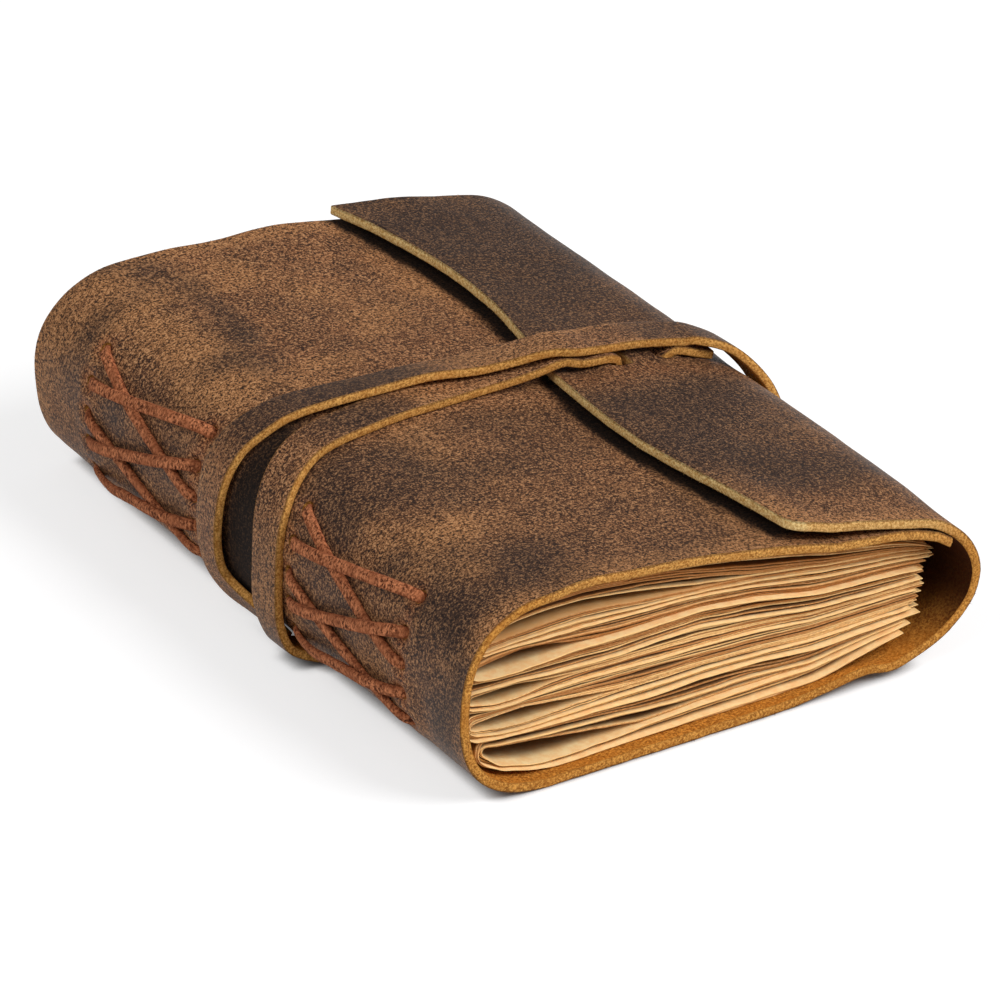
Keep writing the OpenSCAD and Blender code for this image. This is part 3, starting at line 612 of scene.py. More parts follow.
def makeCover():
    c, e = cover, outline.end
    half, wide = c["slitLong"] / 2, c["slitWide"] / 2
    slitS = [outline.onFlap(x) for x, _ in c["slits"]]
    rowTop, rowLow = outline.onBack(rows[4]) - 4, outline.onBack(rows[0]) + 4
    fixed = spread(
        (0, e["front"], 1.9), (e["front"], rowTop, 1.2), (rowTop, rowLow, 0.82), (rowLow, e["spine"], 1.4),
        (e["spine"], e["table"], 3.2), (e["table"], e["wrap"], 1.9), (e["wrap"], e["turn"], 1.6),
        (e["turn"], slitS[1] - wide, 1.3), (slitS[1] - wide, slitS[1] + wide, 0.8),
        (slitS[1] + wide, slitS[0] - wide, 1.2), (slitS[0] - wide, slitS[0] + wide, 0.8),
        (slitS[0] + wide, outline.onFlap(88.0), 0.9))
    share = np.linspace(0, 1, 9)[1:]
    ends = 6 * (np.arange(9) / 8) ** 2
    cols = lacing["columns"]
    slitLow, slitHigh = c["slits"][0][1] - half, c["slits"][1][1] + half
    y = np.concatenate([ends[:-1], spread(
        (6, cols[0] - 4, 1.9), (cols[0] - 4, cols[0] + 4, 0.8), (cols[0] + 4, cols[1] - 4, 2.1),
        (cols[1] - 4, cols[1] + 4, 0.8), (cols[1] + 4, slitLow - 1.5, 2), (slitLow - 1.5, slitLow + 5, 0.7),
        (slitLow + 5, slitHigh - 5, 1.6), (slitHigh - 5, slitHigh + 1.5, 0.7),
        (slitHigh + 1.5, cols[2] - 4, 1.8), (cols[2] - 4, cols[2] + 4, 0.8), (cols[2] + 4, cols[3] - 4, 2.1),
        (cols[3] - 4, cols[3] + 4, 0.8), (cols[3] + 4, c["length"] - 6, 1.9))[:-1], c["length"] - ends[::-1]])
    edgeS = outline.onFlap(flapEdge(y))
    toEdge = fixed[-1] + (edgeS - fixed[-1])[None] * share[:, None]
    s = np.concatenate([np.repeat(fixed[:, None], len(y), 1), toEdge])
    y = np.repeat(y[None], len(s), 0)
    s = s + 0.3 * noise(y / 9, 0.5, 23) * np.clip(1 - s / 6, 0, 1)
    tail = 0.3 * noise(s / 15, 0.5, 24) + 0.12 * noise(s / 3.1, 0.5, 25)
    head = 0.3 * noise(s / 17, 0.5, 26) + 0.12 * noise(s / 3.3, 0.5, 27)
    y = y + tail * np.clip(1 - y / 6, 0, 1) + head * np.clip(1 - (c["length"] - y) / 6, 0, 1)

    # cells whose middle is in a hole or a slit are left out, and those round a hole are drawn to its circle
    ms, my = (s[1:, 1:] + s[:-1, :-1]) / 2, (y[1:, 1:] + y[:-1, :-1]) / 2
    kept = np.ones(ms.shape, bool)
    for hs, hy in holes:
        kept &= np.hypot(ms - hs, my - hy) > c["holeRadius"]
    for ss, (_, sy) in zip(slitS, c["slits"]):
        kept &= ~((np.abs(ms - ss) < wide) & (np.abs(my - sy) < half))
    cut = np.pad(~kept, 1)
    touching = cut[1:, 1:].astype(int) + cut[:-1, 1:] + cut[1:, :-1] + cut[:-1, :-1]
    for hs, hy in holes:
        ds, dy = s - hs, y - hy
        d = np.hypot(ds, dy)
        ring = (touching > 0) & (d < c["holeRadius"] + 1.6) & (d > 0.1)
        s = np.where(ring, hs + ds / np.maximum(d, 1e-6) * c["holeRadius"], s)
        y = np.where(ring, hy + dy / np.maximum(d, 1e-6) * c["holeRadius"], y)

    nu, nv = s.shape
    outer = coverPoint(s, y).reshape(-1, 3)
    inner = coverPoint(s, y, c["thick"]).reshape(-1, 3)
    n2 = outline.normalAt(s)
    normals = np.stack([n2[..., 0], 0 * s, n2[..., 1]], -1).reshape(-1, 3)
    ids = np.arange(nu * nv).reshape(nu, nv)
    a, b, cc, d = ids[:-1, :-1], ids[1:, :-1], ids[1:, 1:], ids[:-1, 1:]
    quads = np.stack([a, b, cc, d], -1)[kept]
    gone = np.pad(~kept, 1, constant_values=True)
    sides = []
    for (p, q), beside in (((a, b), gone[1:-1, :-2]), ((b, cc), gone[2:, 1:-1]), ((cc, d), gone[1:-1, 2:]),
                           ((d, a), gone[:-2, 1:-1])):
        at = kept & beside
        sides.append(np.stack([p[at], q[at]], -1))
    edges = np.concatenate(sides)
    first = np.cross(outer[quads[:, 1]] - outer[quads[:, 0]], outer[quads[:, 3]] - outer[quads[:, 0]])
    if np.sum(first * normals[quads[:, 0]]) < 0:
        quads, edges = quads[:, ::-1], edges[:, ::-1]
    shares = (0.05, 0.2, 0.42, 0.64, 0.84, 0.96)
    used, back, levels, out = rimLevels(outer, inner, edges, normals, shares, 0.28, 0.1, 31)
    total = nu * nv
    points = np.concatenate([outer, inner, *levels])
    looks = grainLooks(s, y)
    skin = np.concatenate([np.zeros(total), np.ones(total), np.repeat(shares, len(used))])
    chain = [edges] + [back + 2 * total + k * len(used) for k in range(len(shares))] + [edges + total]
    pairs = zip(chain, chain[1:])
    walls = np.concatenate([np.stack([p[:, 1], p[:, 0], q[:, 0], q[:, 1]], -1) for p, q in pairs])
    faces = np.concatenate([quads, quads[:, ::-1] + total, walls])
    which = np.concatenate([np.zeros(len(quads)), np.full(len(quads), 2), np.ones(len(walls))])

    # loose fibres along the raw edges
    draw = np.random.default_rng(41)
    lengths = np.linalg.norm(outer[edges[:, 1]] - outer[edges[:, 0]], axis=1)
    picks = draw.choice(len(edges), int(lengths.sum() * 9), p=lengths / lengths.sum())
    t, deep = draw.uniform(0, 1, len(picks))[:, None], draw.uniform(0.04, 0.97, len(picks))[:, None]
    p0, p1 = edges[picks, 0], edges[picks, 1]
    q0, q1 = back[picks, 0], back[picks, 1]
    base = mix(mix(outer[p0], outer[p1], t), mix(inner[p0], inner[p1], t), deep)
    outward = unit(mix(out[q0], out[q1], t))
    base = base + outward * (0.28 * (1 - np.abs(2 * deep - 1) ** 2.5) - 0.05)
    spikes, spikeFaces = nap(base, outward, 0.55, 0.045, 42)
    extra = {"skin": skin}
    for key, values in looks.items():
        flat = values.ravel()
        extra[key] = np.concatenate([flat, flat, *[flat[used]] * len(shares)])
    finishes = [grainCover, rawEdge, fleshSide]
    makePiece("cover", points, faces, finishes, which, extra, "cover")
    soft = {"skin": np.repeat(deep.ravel(), 4), "paleAndLit": np.repeat(looks["paleAndLit"].ravel()[p0], 4)}
    makePiece("coverNap", spikes, spikeFaces, [rawEdge], None, soft)
    print("cover made", len(faces), len(spikeFaces))


makeCover()


def throughPoints(rings, steps, closed=False):
    # a smooth curve through every ring, by the usual four-point cubic
    n = len(rings)
    i = np.arange(n if closed else n - 1)
    pick = (lambda k: k % n) if closed else (lambda k: np.clip(k, 0, n - 1))
    a, b, c, d = (rings[pick(i + k)][:, None] for k in (-1, 0, 1, 2))
    t = (np.arange(steps) / steps)[None, :, None]
    curve = (2 * a - 5 * b + 4 * c - d) * t ** 2 + (3 * b - a - 3 * c + d) * t ** 3
    made = (0.5 * (2 * b + (c - a) * t + curve)).reshape(-1, rings.shape[1])
    return made if closed else np.concatenate([made, rings[-1:]])


def bandProfile(wide, thick, corner, across, crown):
    # a flat band's section: x across, z out, rounded corners, its outer face a little crowned; skin runs from
    # 0 outside to 1 inside, and kind is each face's material
    top = np.linspace(-1, 1, across)
    w, h = wide / 2, thick / 2
    topPts = np.stack([top * (w - corner), h + crown * (1 - top ** 2)], 1)
    side = np.array([[w - corner * 0.3, h - corner * 0.3], [w, h - corner], [w + 0.06, 0], [w, corner - h],
                     [w - corner * 0.3, corner * 0.3 - h]])
    bottom = topPts[::-1] * [1, 0] + [0, -h]
    left = side[::-1] * [-1, 1]
    section = np.concatenate([topPts, side, bottom, left])
    inwards = [0.05, 0.2, 0.5, 0.8, 0.96]
    skin = np.concatenate([np.zeros(across), inwards, np.ones(across), inwards[::-1]])
    kind = np.concatenate([np.zeros(across - 1), np.ones(6), np.full(across - 1, 2), np.ones(6)])
    return section, skin, kind


def carried(route, section, closed=False, widen=None):
    # the section set across a route of centre, outward normal and roll
    centre, normal, roll = route[:, :3], unit(route[:, 3:6]), np.radians(route[:, 6])
    if closed:
        along = np.roll(centre, -1, 0) - np.roll(centre, 1, 0)
    else:
        along = np.gradient(centre, axis=0)
    along = unit(along)
    across = unit(np.cross(along, normal))
    out = np.cross(across, along)
    side = across * np.cos(roll)[:, None] + out * np.sin(roll)[:, None]
    face = out * np.cos(roll)[:, None] - across * np.sin(roll)[:, None]
    width = np.ones(len(route)) if widen is None else widen
    points = centre[:, None] + side[:, None] * (section[None, :, :1] * width[:, None, None]) \
        + face[:, None] * section[None, :, 1:2]
    return points, side, face


def onBand(route, side, face, at):
    # centre, sideways and outward at places given as a share between rings
    low, t = at.astype(int), (at % 1)[:, None]
    return [mix(values[low], values[low + 1], t) for values in (route[:, :3], side, face)]


def tubeFaces(n, m, closed):
    # four-cornered faces round m points and along n rings
    i = np.arange(n if closed else n - 1)[:, None]
    j = np.arange(m)[None]
    after, beside = (i + 1) % n, (j + 1) % m
    return np.stack([i * m + j, i * m + beside, after * m + beside, after * m + j], -1).reshape(-1, 4)


def turnedOut(points, faces):
    # the same faces, wound so that they point outwards: the sum of their signed volumes is positive
    a, b, c, d = (points[faces[:, k]] for k in range(4))
    volume = np.sum(a * np.cross(b, c)) + np.sum(a * np.cross(c, d))
    return faces if volume > 0 else faces[:, ::-1]


def ringAbove(s, y, lift, roll=0.0, follow=1.0):
    # a ring above the leather: the strap and laces follow its swells, or bridge them where follow is 0
    s, y = np.float64(s), np.float64(y)
    p, n = outline.at(s), outline.normalAt(s)
    p = p + n * (relief(s, y) * follow + lift)
    return [p[0], y, p[1], n[0], 0, n[1], roll]


def ringFree(x, y, z, nx, nz, roll=0.0):
    return [x, y, z, nx, 0, nz, roll]


def strapRoute():
    st, o = strap, outline
    y, skew = st["atY"], st["slitSkew"]
    lie = st["thick"] / 2 + st["fit"]
    stack = lie + st["thick"] + st["fit"]
    below = -cover["thick"] - lie - 0.1
    dip = st["dip"]
    s1, s2 = cover["slits"][0][0], cover["slits"][1][0]
    toY = st["underTo"][1]
    f, front, sp, wr, tu = o.onFlap, o.onFront, o.onSpine, o.onWrap, o.onTurn
    route = [
        ringAbove(tu(0.82), y + 1, lie), ringAbove(tu(0.97), y + 1.3, lie),
        ringAbove(f(s2 + 3.6), y + skew, lie + 0.1), ringAbove(f(s2 + 1), y + skew, lie - dip),
        ringAbove(f(s2 - 1), y + skew, below + dip), ringAbove(f(s2 - 3.6), y + 1.2, below),
        ringAbove(f(s1 + 3.6), y - 1.2, below), ringAbove(f(s1 + 1), y - skew, below + dip),
        ringAbove(f(s1 - 1), y - skew, lie - dip), ringAbove(f(s1 - 3.6), y - 1.9, lie + 0.2),
        ringAbove(f(s1 - 10.5), y - 2.6, lie + 1.1), ringAbove(front(s1 - 15.5), y - 2.2, lie + 5.2),
        ringAbove(front(71), y - 1.4, lie + 3), ringAbove(front(64), y - 0.8, lie + 1.2),
        ringAbove(front(57), y - 0.6, lie + 0.2), ringAbove(front(50), y - 1.6, lie),
        ringAbove(front(36), y - 3.5, lie), ringAbove(front(24), y - 5.5, lie),
        ringAbove(sp(77), y - 6.7, lie + 0.05), ringAbove(sp(62), y - 7.9, lie),
        ringAbove(sp(42), y - 10.5, lie), ringAbove(sp(20), y - 12.9, lie),
        ringAbove(sp(0), y - 13.8, lie), ringAbove(sp(-18), y - 14.1, lie + 1),
        ringAbove(sp(-34), y - 15.5, stack), ringAbove(sp(-43), y - 16.1, stack - 0.5),
        ringFree(9, underY(9), 1.4, -0.287, -0.958)]
    route += [ringFree(x, underY(x), st["thick"] / 2, 0, -1) for x in (14, 22, 45, 70, 95, 107)]
    route += [
        ringAbove(wr(-62), toY, lie), ringAbove(wr(-45), toY + 0.6, lie), ringAbove(wr(-28), toY + 1.3, lie),
        ringAbove(wr(-12), toY + 2.2, lie), ringAbove(wr(0), y - 8.2, lie + 0.2),
        ringAbove(tu(0.35), y - 5.9, lie + 0.9, 0, 0), ringAbove(tu(0.7), y - 2.9, stack + 0.1, -5, 0),
        ringAbove(tu(0.95), y, stack + 0.4, -4, 0),
        ringAbove(f(s2 + 5), y + 1.3, stack + 0.2, 0, 0), ringAbove(f(s2), y + 1.5, stack + 0.1, 0, 0),
        ringAbove(f(s1 + 4), y + 0.7, stack + 0.2, 0, 0), ringAbove(f(s1 - 5), y - 0.9, stack + 0.4, 0, 0),
        ringAbove(f(s1 - 11.5), y - 2.6, stack + 1.2, 0, 0),
        ringAbove(front(s1 - 17.5), y - 1.5, stack + 5.1, -2),
        ringAbove(front(68), y + 0.9, stack + 2.6, -5), ringAbove(front(59), y + 2.8, stack + 0.6, -8),
        ringAbove(front(48), y + 4.6, stack - 0.1, -13), ringAbove(front(37), y + 5.6, stack - 0.9, -12),
        ringAbove(front(25), y + 6.3, stack - 1.2, -9), ringAbove(sp(77), y + 7, stack - 1.3, -7),
        ringAbove(sp(64), y + 7.5, stack - 1.4, -6), ringAbove(sp(44), y + 9.1, lie + 0.6, -5),
        ringAbove(sp(22), y + 9.4, lie + 0.6, -6), ringAbove(sp(0), y + 9.3, lie + 0.8, -8),
        ringAbove(sp(-15), y + 8.9, lie + 0.7, -6), ringAbove(sp(-27), y + 6.7, lie + 0.5),
        ringAbove(sp(-34), y + 1.5, lie + 0.1), ringAbove(sp(-37), y - 5.5, lie),
        ringAbove(sp(-38), y - 10.6, lie)]
    return np.array(route, float)


def capped(faces, n, m, kind):
    # flat ends: each is a fan of four-cornered faces between the two sides of the section
    half = m // 2
    j = np.arange(half - 1)
    start = np.stack([m - 1 - j, m - 2 - j, j + 1, j], -1)
    last = (n - 1) * m
    stop = np.stack([last + j, last + j + 1, last + m - 2 - j, last + m - 1 - j], -1)
    return np.concatenate([faces, start, stop]), np.concatenate([kind, np.ones(2 * (half - 1))])


def makeStrap():
    st = strap
    route = throughPoints(strapRoute(), 7)
    section, skin, kind = bandProfile(st["wide"] - 0.2, st["thick"] - 0.06, 0.32, 9, 0.05)
    length = np.concatenate([[0], np.cumsum(np.linalg.norm(np.diff(route[:, :3], axis=0), axis=1))])
    widen = 1 + 0.02 * noise(length / 9, 0.5, 51) + 0.008 * noise(length / 2.2, 0.5, 52)
    points, side, face = carried(route, section, widen=widen)
    n, m = points.shape[:2]
    points[..., 2] = np.maximum(points[..., 2], 0.02)
    faces = tubeFaces(n, m, False)
    kinds = np.tile(kind, n - 1)
    faces, kinds = capped(faces, n, m, kinds)
    flat = points.reshape(-1, 3)
    faces = turnedOut(flat, faces)
    along2 = np.repeat(length, m)
    place = np.tile(section[:, 0], n)
    dark = np.clip(0.45 + 0.5 * noise(along2 / 24, place / 14, 53), 0, 1)
    rust = np.clip(0.12 + 0.35 * noise(along2 / 18, place / 9, 54), 0, 1)
    worn = np.clip(0.3 + 0.5 * noise(along2 / 15, place / 7, 55) + 0.4 * (np.abs(place) / 5.2) ** 4, 0, 1)
    looks = {"skin": np.tile(skin, n), "dark": dark, "rust": rust, "worn": worn, "paleAndLit": np.full(n * m, 0.12),
             "paintedShade": np.zeros(n * m), "paintedWrapShade": np.zeros(n * m)}
    makePiece("strap", flat, faces, [grainStrap, rawEdge, fleshSide], kinds, looks, "strap")
    draw = np.random.default_rng(56)
    count = int(length[-1] * 2 * 8)
    at, sign = draw.uniform(0, n - 1.001, count), np.sign(draw.uniform(-1, 1, count))
    deep = draw.uniform(-0.85, 0.9, count)
    centre, sideways, outward = onBand(route, side, face, at)
    base = centre + sideways * (sign * (st["wide"] / 2 - 0.12))[:, None]
    base = base + outward * (deep * st["thick"] / 2)[:, None]
    spikes, spikeFaces = nap(base, unit(sideways * sign[:, None]), 0.48, 0.04, 57)
    soft = {"skin": np.repeat((1 - deep) / 2, 4), "paleAndLit": np.full(4 * count, 0.12)}
    makePiece("strapNap", spikes, spikeFaces, [rawEdge], None, soft)
    print("strap made", len(faces), round(length[-1]))


makeStrap()


# heights of each signature at these places from the spine: its foot, and the low and high side of its open
# middle; standing leaves are named by signature, half and sheet
pages = dict(
    tail=5.2, head=172.8, sheets=(6, 7, 7, 7, 10), low=2.35, top=42.7, drop=17.6, footX=90.6, foreX=118.6,
    footRise=6.8, foldLow=9.8, foldPitch=6.3, foldGap=0.9, fill=0.62, mostThick=0.36, leafColumns=157,
    ends=(114.2, 117.4, 118.2, 119.0, 121.0),
    places=(12.5, 18, 24, 32, 40, 48, 62, 76, 90, 118),
    foot=((5.2, 3.5, 2.4, 2.3, 2.3, 2.3, 2.3, 2.3, 2.3, 8.9),
          (12.5, 12.1, 11.8, 11.5, 11.1, 10.9, 11.6, 11.3, 10.0, 11.2),
          (18.6, 18.8, 18.9, 18.7, 18.4, 18.2, 17.6, 16.8, 15.6, 15.3),
          (25.1, 25.0, 24.8, 24.6, 24.5, 24.7, 25.0, 23.4, 20.9, 19.2),
          (32.4, 32.2, 31.8, 31.4, 31.0, 30.7, 30.2, 28.6, 26.2, 22.6)),
    mouthLow=((5.9, 4.2, 3.6, 3.8, 4.0, 4.7, 5.6, 5.8, 5.8, 9.8),
              (14.1, 13.6, 13.8, 14.2, 14.4, 14.5, 14.4, 13.8, 12.8, 13.2),
              (20.2, 20.3, 21.1, 21.5, 21.4, 21.3, 21.0, 19.9, 18.2, 17.1),
              (27.4, 27.4, 27.6, 28.1, 28.0, 28.1, 28.3, 26.6, 23.6, 21.2),
              (34.6, 34.9, 35.3, 35.3, 34.8, 33.8, 32.7, 31.4, 29.4, 24.4)),
    mouthHigh=((9.8, 9.2, 8.3, 7.2, 6.2, 5.1, 5.7, 5.9, 5.9, 9.9),
               (17.5, 17.7, 16.9, 15.9, 15.0, 14.6, 14.5, 13.9, 12.9, 13.3),
               (23.5, 23.4, 22.3, 21.6, 21.5, 21.4, 21.1, 20.0, 18.3, 17.2),
               (30.5, 31.1, 30.6, 28.9, 28.1, 28.2, 28.4, 26.7, 23.7, 21.3),
               (37.0, 38.1, 38.4, 37.9, 37.2, 36.2, 33.6, 31.5, 29.5, 24.5)),
    standing={(0, "low", 0): 2.0, (0, "low", 1): 2.4, (0, "low", 5): 1.5, (0, "high", 3): 0.8,
              (1, "low", 0): 1.7, (1, "low", 4): 0.9, (2, "low", 3): 0.9, (2, "high", 1): 1.3,
              (3, "low", 6): 1.7, (3, "high", 2): 0.7, (4, "low", 2): 1.1, (4, "low", 6): 0.8,
              (4, "high", 1): 0.8})


def spineX(z, inset):
    half, depth = cover["height"] / 2, cover["spineDepth"]
    rise = np.minimum(1, np.abs(z - half) / (half - inset))
    return depth - (depth - inset) * (1 - rise ** cover["spinePower"]) ** (1 / cover["spinePower"])


def foldPoint(k):
    z = pages["foldLow"] + pages["foldPitch"] * k
    return spineX(z, cover["thick"]) + pages["foldGap"], z


def laceRoute(left, right):
    # slanting runs outside the spine, straight runs inside the folds, in one closed loop
    la = lacing
    lie, over, b = la["thick"] / 2 + la["fit"], la["thick"] + la["fit"], la["bend"]
    gap = left - right
    route = []
    for low, high, above in la["runs"]:
        for t in (0, 0.22, 0.4, 0.6, 0.78, 1):
            z = mix(rows[low], rows[high], mix(b / gap, 1 - b / gap, t))
            y = mix(left - b, right + b, t)
            route.append(ringAbove(outline.onBack(z), y, lie + above * (0 < t < 1) * over))
        fx, fz = foldPoint(high)
        inside = np.array([fx + la["pocket"] + lie, fz])
        outside = np.array([spineX(rows[high], 0), rows[high]])
        for y, facing, shares in ((right, -1, (0.3, 0.75)), (left, 1, (0.75, 0.3))):
            if facing > 0:
                route += [[inside[0], yy, inside[1], 1, 0, 0, 0] for yy in (right + b, left - b)]
            for share in shares:
                p = mix(outside, inside, share)
                route.append([p[0], y, p[1], 0, facing, 0, 0])
    return np.array(route, float)


def makeLace(name, node, left, right, seed):
    la = lacing
    route = throughPoints(laceRoute(left, right), 6, closed=True)
    section = bandProfile(la["wide"], la["thick"], 0.4, 5, 0.08)[0]
    n = len(route)
    draw = np.random.default_rng(seed)
    length = np.linspace(0, 60, n)
    widen = 1 + 0.07 * noise(length, 0.5, seed) + 0.03 * noise(length * 4, 0.5, seed + 1)
    points, side, face = carried(route, section, closed=True, widen=widen)
    m = points.shape[1]
    push = 0.06 * draw.uniform(-1, 1, (n, m))
    middle = points.mean(1, keepdims=True)
    points = points + unit(points - middle) * push[..., None]
    faces = turnedOut(points.reshape(-1, 3), tubeFaces(n, m, True))
    makePiece(name, points.reshape(-1, 3), faces, [laceFinish], None,
              {"skin": np.tile(np.abs(section[:, 0]) / la["wide"] * 1.2, n)}, node)
    count = 5200
    at, sign = draw.uniform(0, n - 1.001, count), np.sign(draw.uniform(-1, 1, count))
    deep, off = draw.uniform(-0.9, 0.9, count), draw.uniform(0.3, 1, count)
    centre, sideways, outward = onBand(route, side, face, at)
    base = centre + sideways * (sign * off * (la["wide"] / 2 - 0.05))[:, None]
    base = base + outward * (np.where(off < 0.85, 0.95, deep) * la["thick"] / 2)[:, None]
    away = unit(sideways * sign[:, None] * off[:, None] ** 3 + outward * 0.4)
    spikes, spikeFaces = nap(base, away, 0.3, 0.035, seed + 2)
    soft = {"skin": np.zeros(len(spikes))}
    makePiece(name + "Nap", spikes, spikeFaces, [laceFinish], None, soft)
    print(name, "made", len(faces))


makeLace("laceHead", "lace_head", lacing["columns"][3], lacing["columns"][2], 61)
makeLace("laceTail", "lace_tail", lacing["columns"][1], lacing["columns"][0], 71)


def along(x, values):
    # a smooth line through heights given at the pages' places
    even = np.arange(0, 130, 0.5)
    soft = np.hanning(15) / np.hanning(15).sum()
    line = np.convolve(np.pad(np.interp(even, pages["places"], values), 7, "edge"), soft, "valid")
    return np.interp(x, even, line)


def blockLow(x):
    p = pages
    return p["low"] + p["footRise"] * (np.clip(x - p["footX"], 0, None) / (p["foreX"] - p["footX"])) ** 2


def blockTop(x):
    p, c = pages, cover
    return p["top"] - p["drop"] * (np.clip(x - c["spineDepth"], 0, None) / c["frontWide"]) ** 2


def settled(z, x, y):
    # leaves lie over the strap under the book, and follow the front cover where it lifts
    low, top = blockLow(x), blockTop(x)
    over = 2.3 * overStrap(x, y) * (1 - step(112, 117, x))
    rise = np.clip((z - low) / (top - low), 0, 1)
    return z + over * (1 - rise) ** 2 + 0.85 * frontLift(x, y) * rise ** 3


def makeSignature(k):
    # folded sheets: each is one surface from its lower leaf's end, round the fold, to its upper leaf's end
    p = pages
    fx, fz = foldPoint(k)
    n, nose = p["sheets"][k], 0.45 * p["foldPitch"]
    draw = np.random.default_rng(900 + k)
    nearEnd = np.array([0, 0.0013, 0.004, 0.009, 0.017, 0.035, 0.09])
    v = np.concatenate([nearEnd, np.linspace(0.2, 0.8, 5), 1 - nearEnd[::-1]])
    u, v = np.meshgrid(np.linspace(-1, 1, p["leafColumns"]), v, indexing="ij")
    upper = u > 0
    side = step(-0.08, 0.08, u)
    t = np.abs(u) ** 1.4
    points, faces, tintsAndLight, edgeness, gapShades = [], [], [], [], []
    base = 0
    offsets = draw.uniform(0, 50, (2 * n, 4))
    nuV = u.size

    def face(x, values, atFold):
        return mix(atFold, along(x, values), step(fx + 0.5 * nose, 13.0, x))

    for j in range(n):
        foldX = fx + 1.85 / n * j + 0.15
        ends = [p["ends"][k] - draw.uniform(-0.6, 1.9) for _ in (0, 1)]
        outs = [p["standing"].get((k, half, j), draw.uniform(-0.12, 0.14)) for half in ("low", "high")]
        headOuts = draw.uniform(-0.3, 0.4, 2) + (draw.uniform(0, 1, 2) > 0.84) * draw.uniform(0.8, 2.2, 2)
        reach = mix(ends[0], ends[1], side)
        tail, head = p["tail"] - mix(outs[0], outs[1], side), p["head"] + mix(headOuts[0], headOuts[1], side)
        x = foldX + (reach - foldX) * t
        leaf = j + 9 * upper
        ragged = 0.16 * noise(x / 13, leaf, 910 + k) + 0.12 * noise(x / 3.2, leaf, 920 + k)
        raggedHead = 0.3 * noise(x / 12, leaf, 930 + k) + 0.16 * noise(x / 3.2, leaf, 940 + k)
        y = mix(tail + ragged, head + raggedHead, v)
        x = x + (0.6 * noise(y / 16, leaf, 950 + k) + 0.25 * noise(y / 3.5, leaf, 960 + k)) * t ** 4
        foot = face(x, p["foot"][k], fz - nose)
        if k == 0:
            foot = np.maximum(foot, blockLow(x))
        if k < len(p["foot"]) - 1:
            top = face(x, p["foot"][k + 1], fz + nose)
        else:
            top = mix(fz + nose, blockTop(x), step(fx + 0.5 * nose, 20.0, x))
        mouthLow, mouthHigh = face(x, p["mouthLow"][k], fz - 0.9), face(x, p["mouthHigh"][k], fz + 0.9)
        mouthLow = np.maximum(mouthLow, foot + 0.9)
        mouthHigh = np.maximum(np.minimum(mouthHigh, top - 0.9), mouthLow + 0.08)
        lowT, highT = mouthLow - foot, top - mouthHigh
        thickLow, thickHigh = (np.minimum(p["fill"] * d / n, p["mostThick"]) for d in (lowT, highT))
        # the spare height goes to a few of the gaps between leaves
        weights = [0.02 + (0.5 + 0.5 * noise(x / 34 + offsets[i, 0], y / 60 + offsets[i, 1], 970 + k)) ** 5
                   for i in range(2 * n)]
        lowAll, highAll = (sum(weights[i] for i in range(h, 2 * n, 2)) for h in (0, 1))
        lowPart = sum(weights[2 * i] for i in range(j + 1)) / lowAll
        highPart = sum(weights[2 * i + 1] for i in range(j + 1)) / highAll
        lower = foot + lowPart * (lowT - n * thickLow) + thickLow * (j + 0.5)
        higher = top - highPart * (highT - n * thickHigh) - thickHigh * (j + 0.5)
        z = np.where(upper, higher, lower)
        thick = mix(thickLow, thickHigh, side)
        fromFold = np.clip((x - foldX) / (nose - 1.3 / n * j), 0, 1)
        z = settled(fz + (z - fz) * np.sqrt(np.clip(1 - (1 - fromFold) ** 2, 0, 1)), x, y)
        middle = np.stack([x, y, z], -1)
        normal = unit(np.cross(np.gradient(middle, axis=1), np.gradient(middle, axis=0)))
        a, b = middle + normal * thick[..., None] / 2, middle - normal * thick[..., None] / 2
        ids = np.arange(nuV).reshape(u.shape)
        quad = np.stack([ids[:-1, :-1], ids[1:, :-1], ids[1:, 1:], ids[:-1, 1:]], -1).reshape(-1, 4)
        ring = np.concatenate([ids[:, 0], ids[-1, 1:], ids[::-1, -1][1:], ids[0, ::-1][1:]])
        wall = np.stack([ring[:-1], ring[1:], ring[1:] + nuV, ring[:-1] + nuV], -1)
        both = np.concatenate([a.reshape(-1, 3), b.reshape(-1, 3)])
        shell = turnedOut(both, np.concatenate([quad[:, ::-1], quad + nuV, wall]))
        points.append(both)
        faces.append(shell + base)
        base += len(both)
        # leaves that stand out get a low tint and show paler, painted light for the light their faces catch;
        # the others vary at random
        stands = [o > 0.7 for o in outs]
        tintAndLight = mix(*(draw.uniform(0.0, 0.25) if s else draw.uniform(0.15, 1) for s in stands), side)
        fromEnd = np.minimum(y - y.min(1, keepdims=True), y.max(1, keepdims=True) - y)
        fromEnd = np.minimum(fromEnd, (1 - t) * 90)
        tintsAndLight.append(np.tile(tintAndLight.ravel(), 2))
        # painted shade: each leaf goes dark brown from a fraction of a millimetre in from its ends, in the
        # shadowed gaps between leaves; the last sheet of each signature faces its open middle, its lower leaf
        # darkening from 0.8 to 6.5 mm in and its upper leaf from its end to 2 mm in
        out = np.clip(mix(outs[0], outs[1], side) - 0.2, 0, None) * (v < 0.5)
        deep = (-0.05, 0.32) if j < n - 1 else (0.8, 6.5)
        deeper = step(deep[0], deep[1], fromEnd - out)
        gapShade = deeper if j < n - 1 else mix(deeper, step(0.0, 2.0, fromEnd), side)
        gapShades.append(np.tile(gapShade.ravel() * 0.85, 2))
        edgeness.append(np.tile(np.exp(-fromEnd / 0.3).ravel(), 2))
    looks = {"tintAndLight": tintsAndLight, "edge": edgeness, "inside": gapShades}
    looks = {key: np.concatenate(values) for key, values in looks.items()}
    points, faces = np.concatenate(points), np.concatenate(faces)
    name = f"signature{len(p['sheets']) - k}"
    makePiece(name, points, faces, [paper], None, looks, "text_block")


for k in range(len(pages["sheets"])):
    makeSignature(k)
print("pages made")


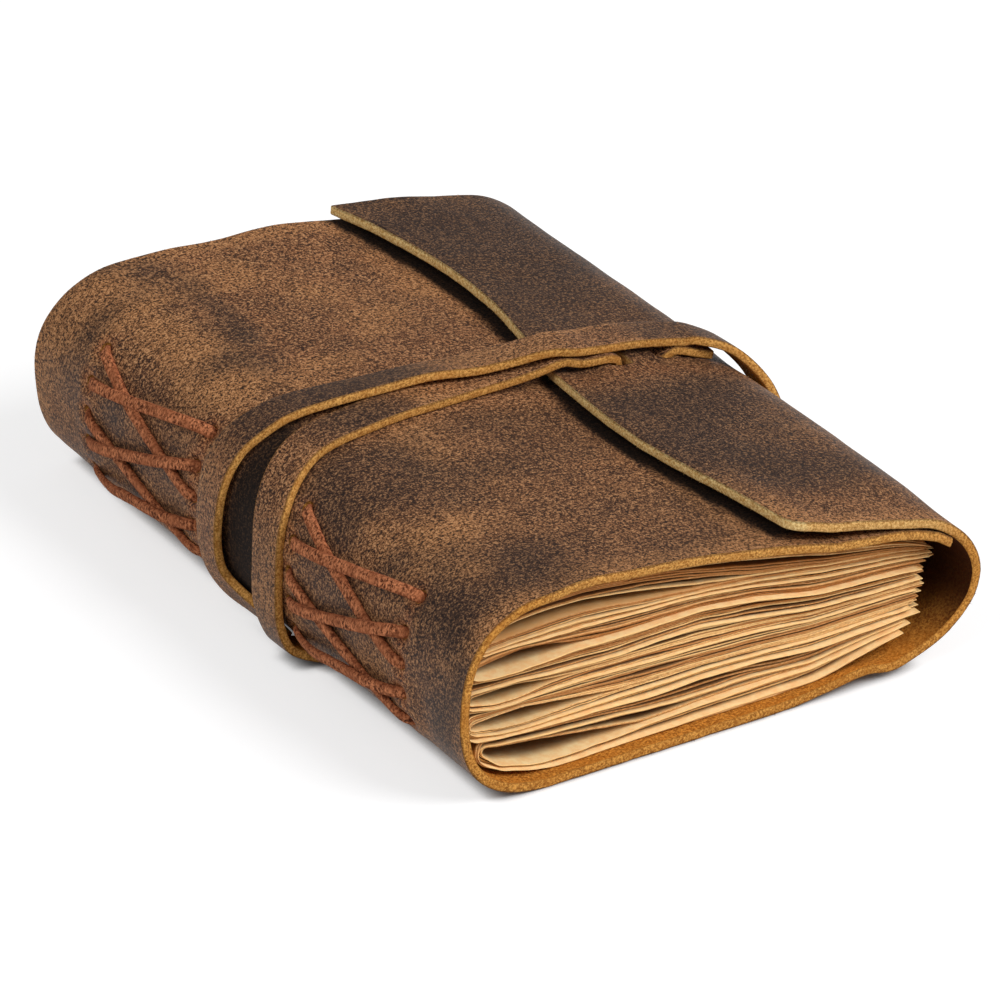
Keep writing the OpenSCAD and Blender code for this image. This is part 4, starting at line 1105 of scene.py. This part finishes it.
studio = dict(
    keyAt=(1.15, -1.65, 1.85), keySize=1.5, keyPower=55, fillAt=(-1.8, -0.5, 2.0), fillSize=1.6, fillPower=22,
    sky=0.28, floorSize=3.0, floor=(0.8, 0.8, 0.805, 1.0), floorSeen=(0.5, 0.5, 0.505, 1.0),
    glow=(0.63, 0.63, 0.63, 1.0), shadeReach=0.004)


def makeFloor():
    size = studio["floorSize"]
    mesh = bpy.data.meshes.new("floor")
    corners = [(-size, -size, 0), (size, -size, 0), (size, size, 0), (-size, size, 0)]
    mesh.from_pydata(corners, [], [(0, 1, 2, 3)])
    # seen directly or in a reflection, the floor adds a white glow that fades right beside the journal; the
    # fade follows ambient occlusion, so it paints a contact shadow along the journal's foot
    f = Finish("paleFloor", Roughness=0.9, Specular_IOR_Level=0.05, Emission_Strength=1.0)
    rays = ("Camera", "Glossy", "Transmission")
    direct, glossy, through = (f.node("ShaderNodeLightPath", {}, {}, "Is " + ray + " Ray") for ray in rays)
    shown = direct.maths("MAXIMUM", direct, glossy.maths("MAXIMUM", glossy, through))
    near = f.node("ShaderNodeAmbientOcclusion", {"samples": 8}, {"Distance": studio["shadeReach"]}, "AO")
    glow = f.blend(shown * f.between(near, 0.2, 0.85), (0, 0, 0, 1), studio["glow"])
    f.done(Emission_Color=glow, Base_Color=f.blend(shown, studio["floor"], studio["floorSeen"]))
    mesh.materials.append(f.material)
    made = bpy.data.objects.new("floor", mesh)
    bpy.context.scene.collection.objects.link(made)


def makeLight(name, at, size, power):
    data = bpy.data.lights.new(name, "AREA")
    data.shape, data.size, data.energy = "DISK", size, power
    made = bpy.data.objects.new(name, data)
    bpy.context.scene.collection.objects.link(made)
    back = unit(np.array(at, float))
    right = unit(np.cross([0.0, 1.0, 0.001], back))
    turned = np.eye(4)
    turned[:3, 0], turned[:3, 1], turned[:3, 2], turned[:3, 3] = right, np.cross(back, right), back, at
    made.matrix_world = Matrix(turned.tolist())


makeFloor()
makeLight("keyLight", studio["keyAt"], studio["keySize"], studio["keyPower"])
makeLight("fillLight", studio["fillAt"], studio["fillSize"], studio["fillPower"])
world = bpy.data.worlds.new("studio")
world.use_nodes = True
world.node_tree.nodes["Background"].inputs["Color"].default_value = (1, 1, 1, 1)
world.node_tree.nodes["Background"].inputs["Strength"].default_value = studio["sky"]
bpy.context.scene.world = world
bpy.context.scene.view_settings.view_transform = "Standard"
print("floor and light made")
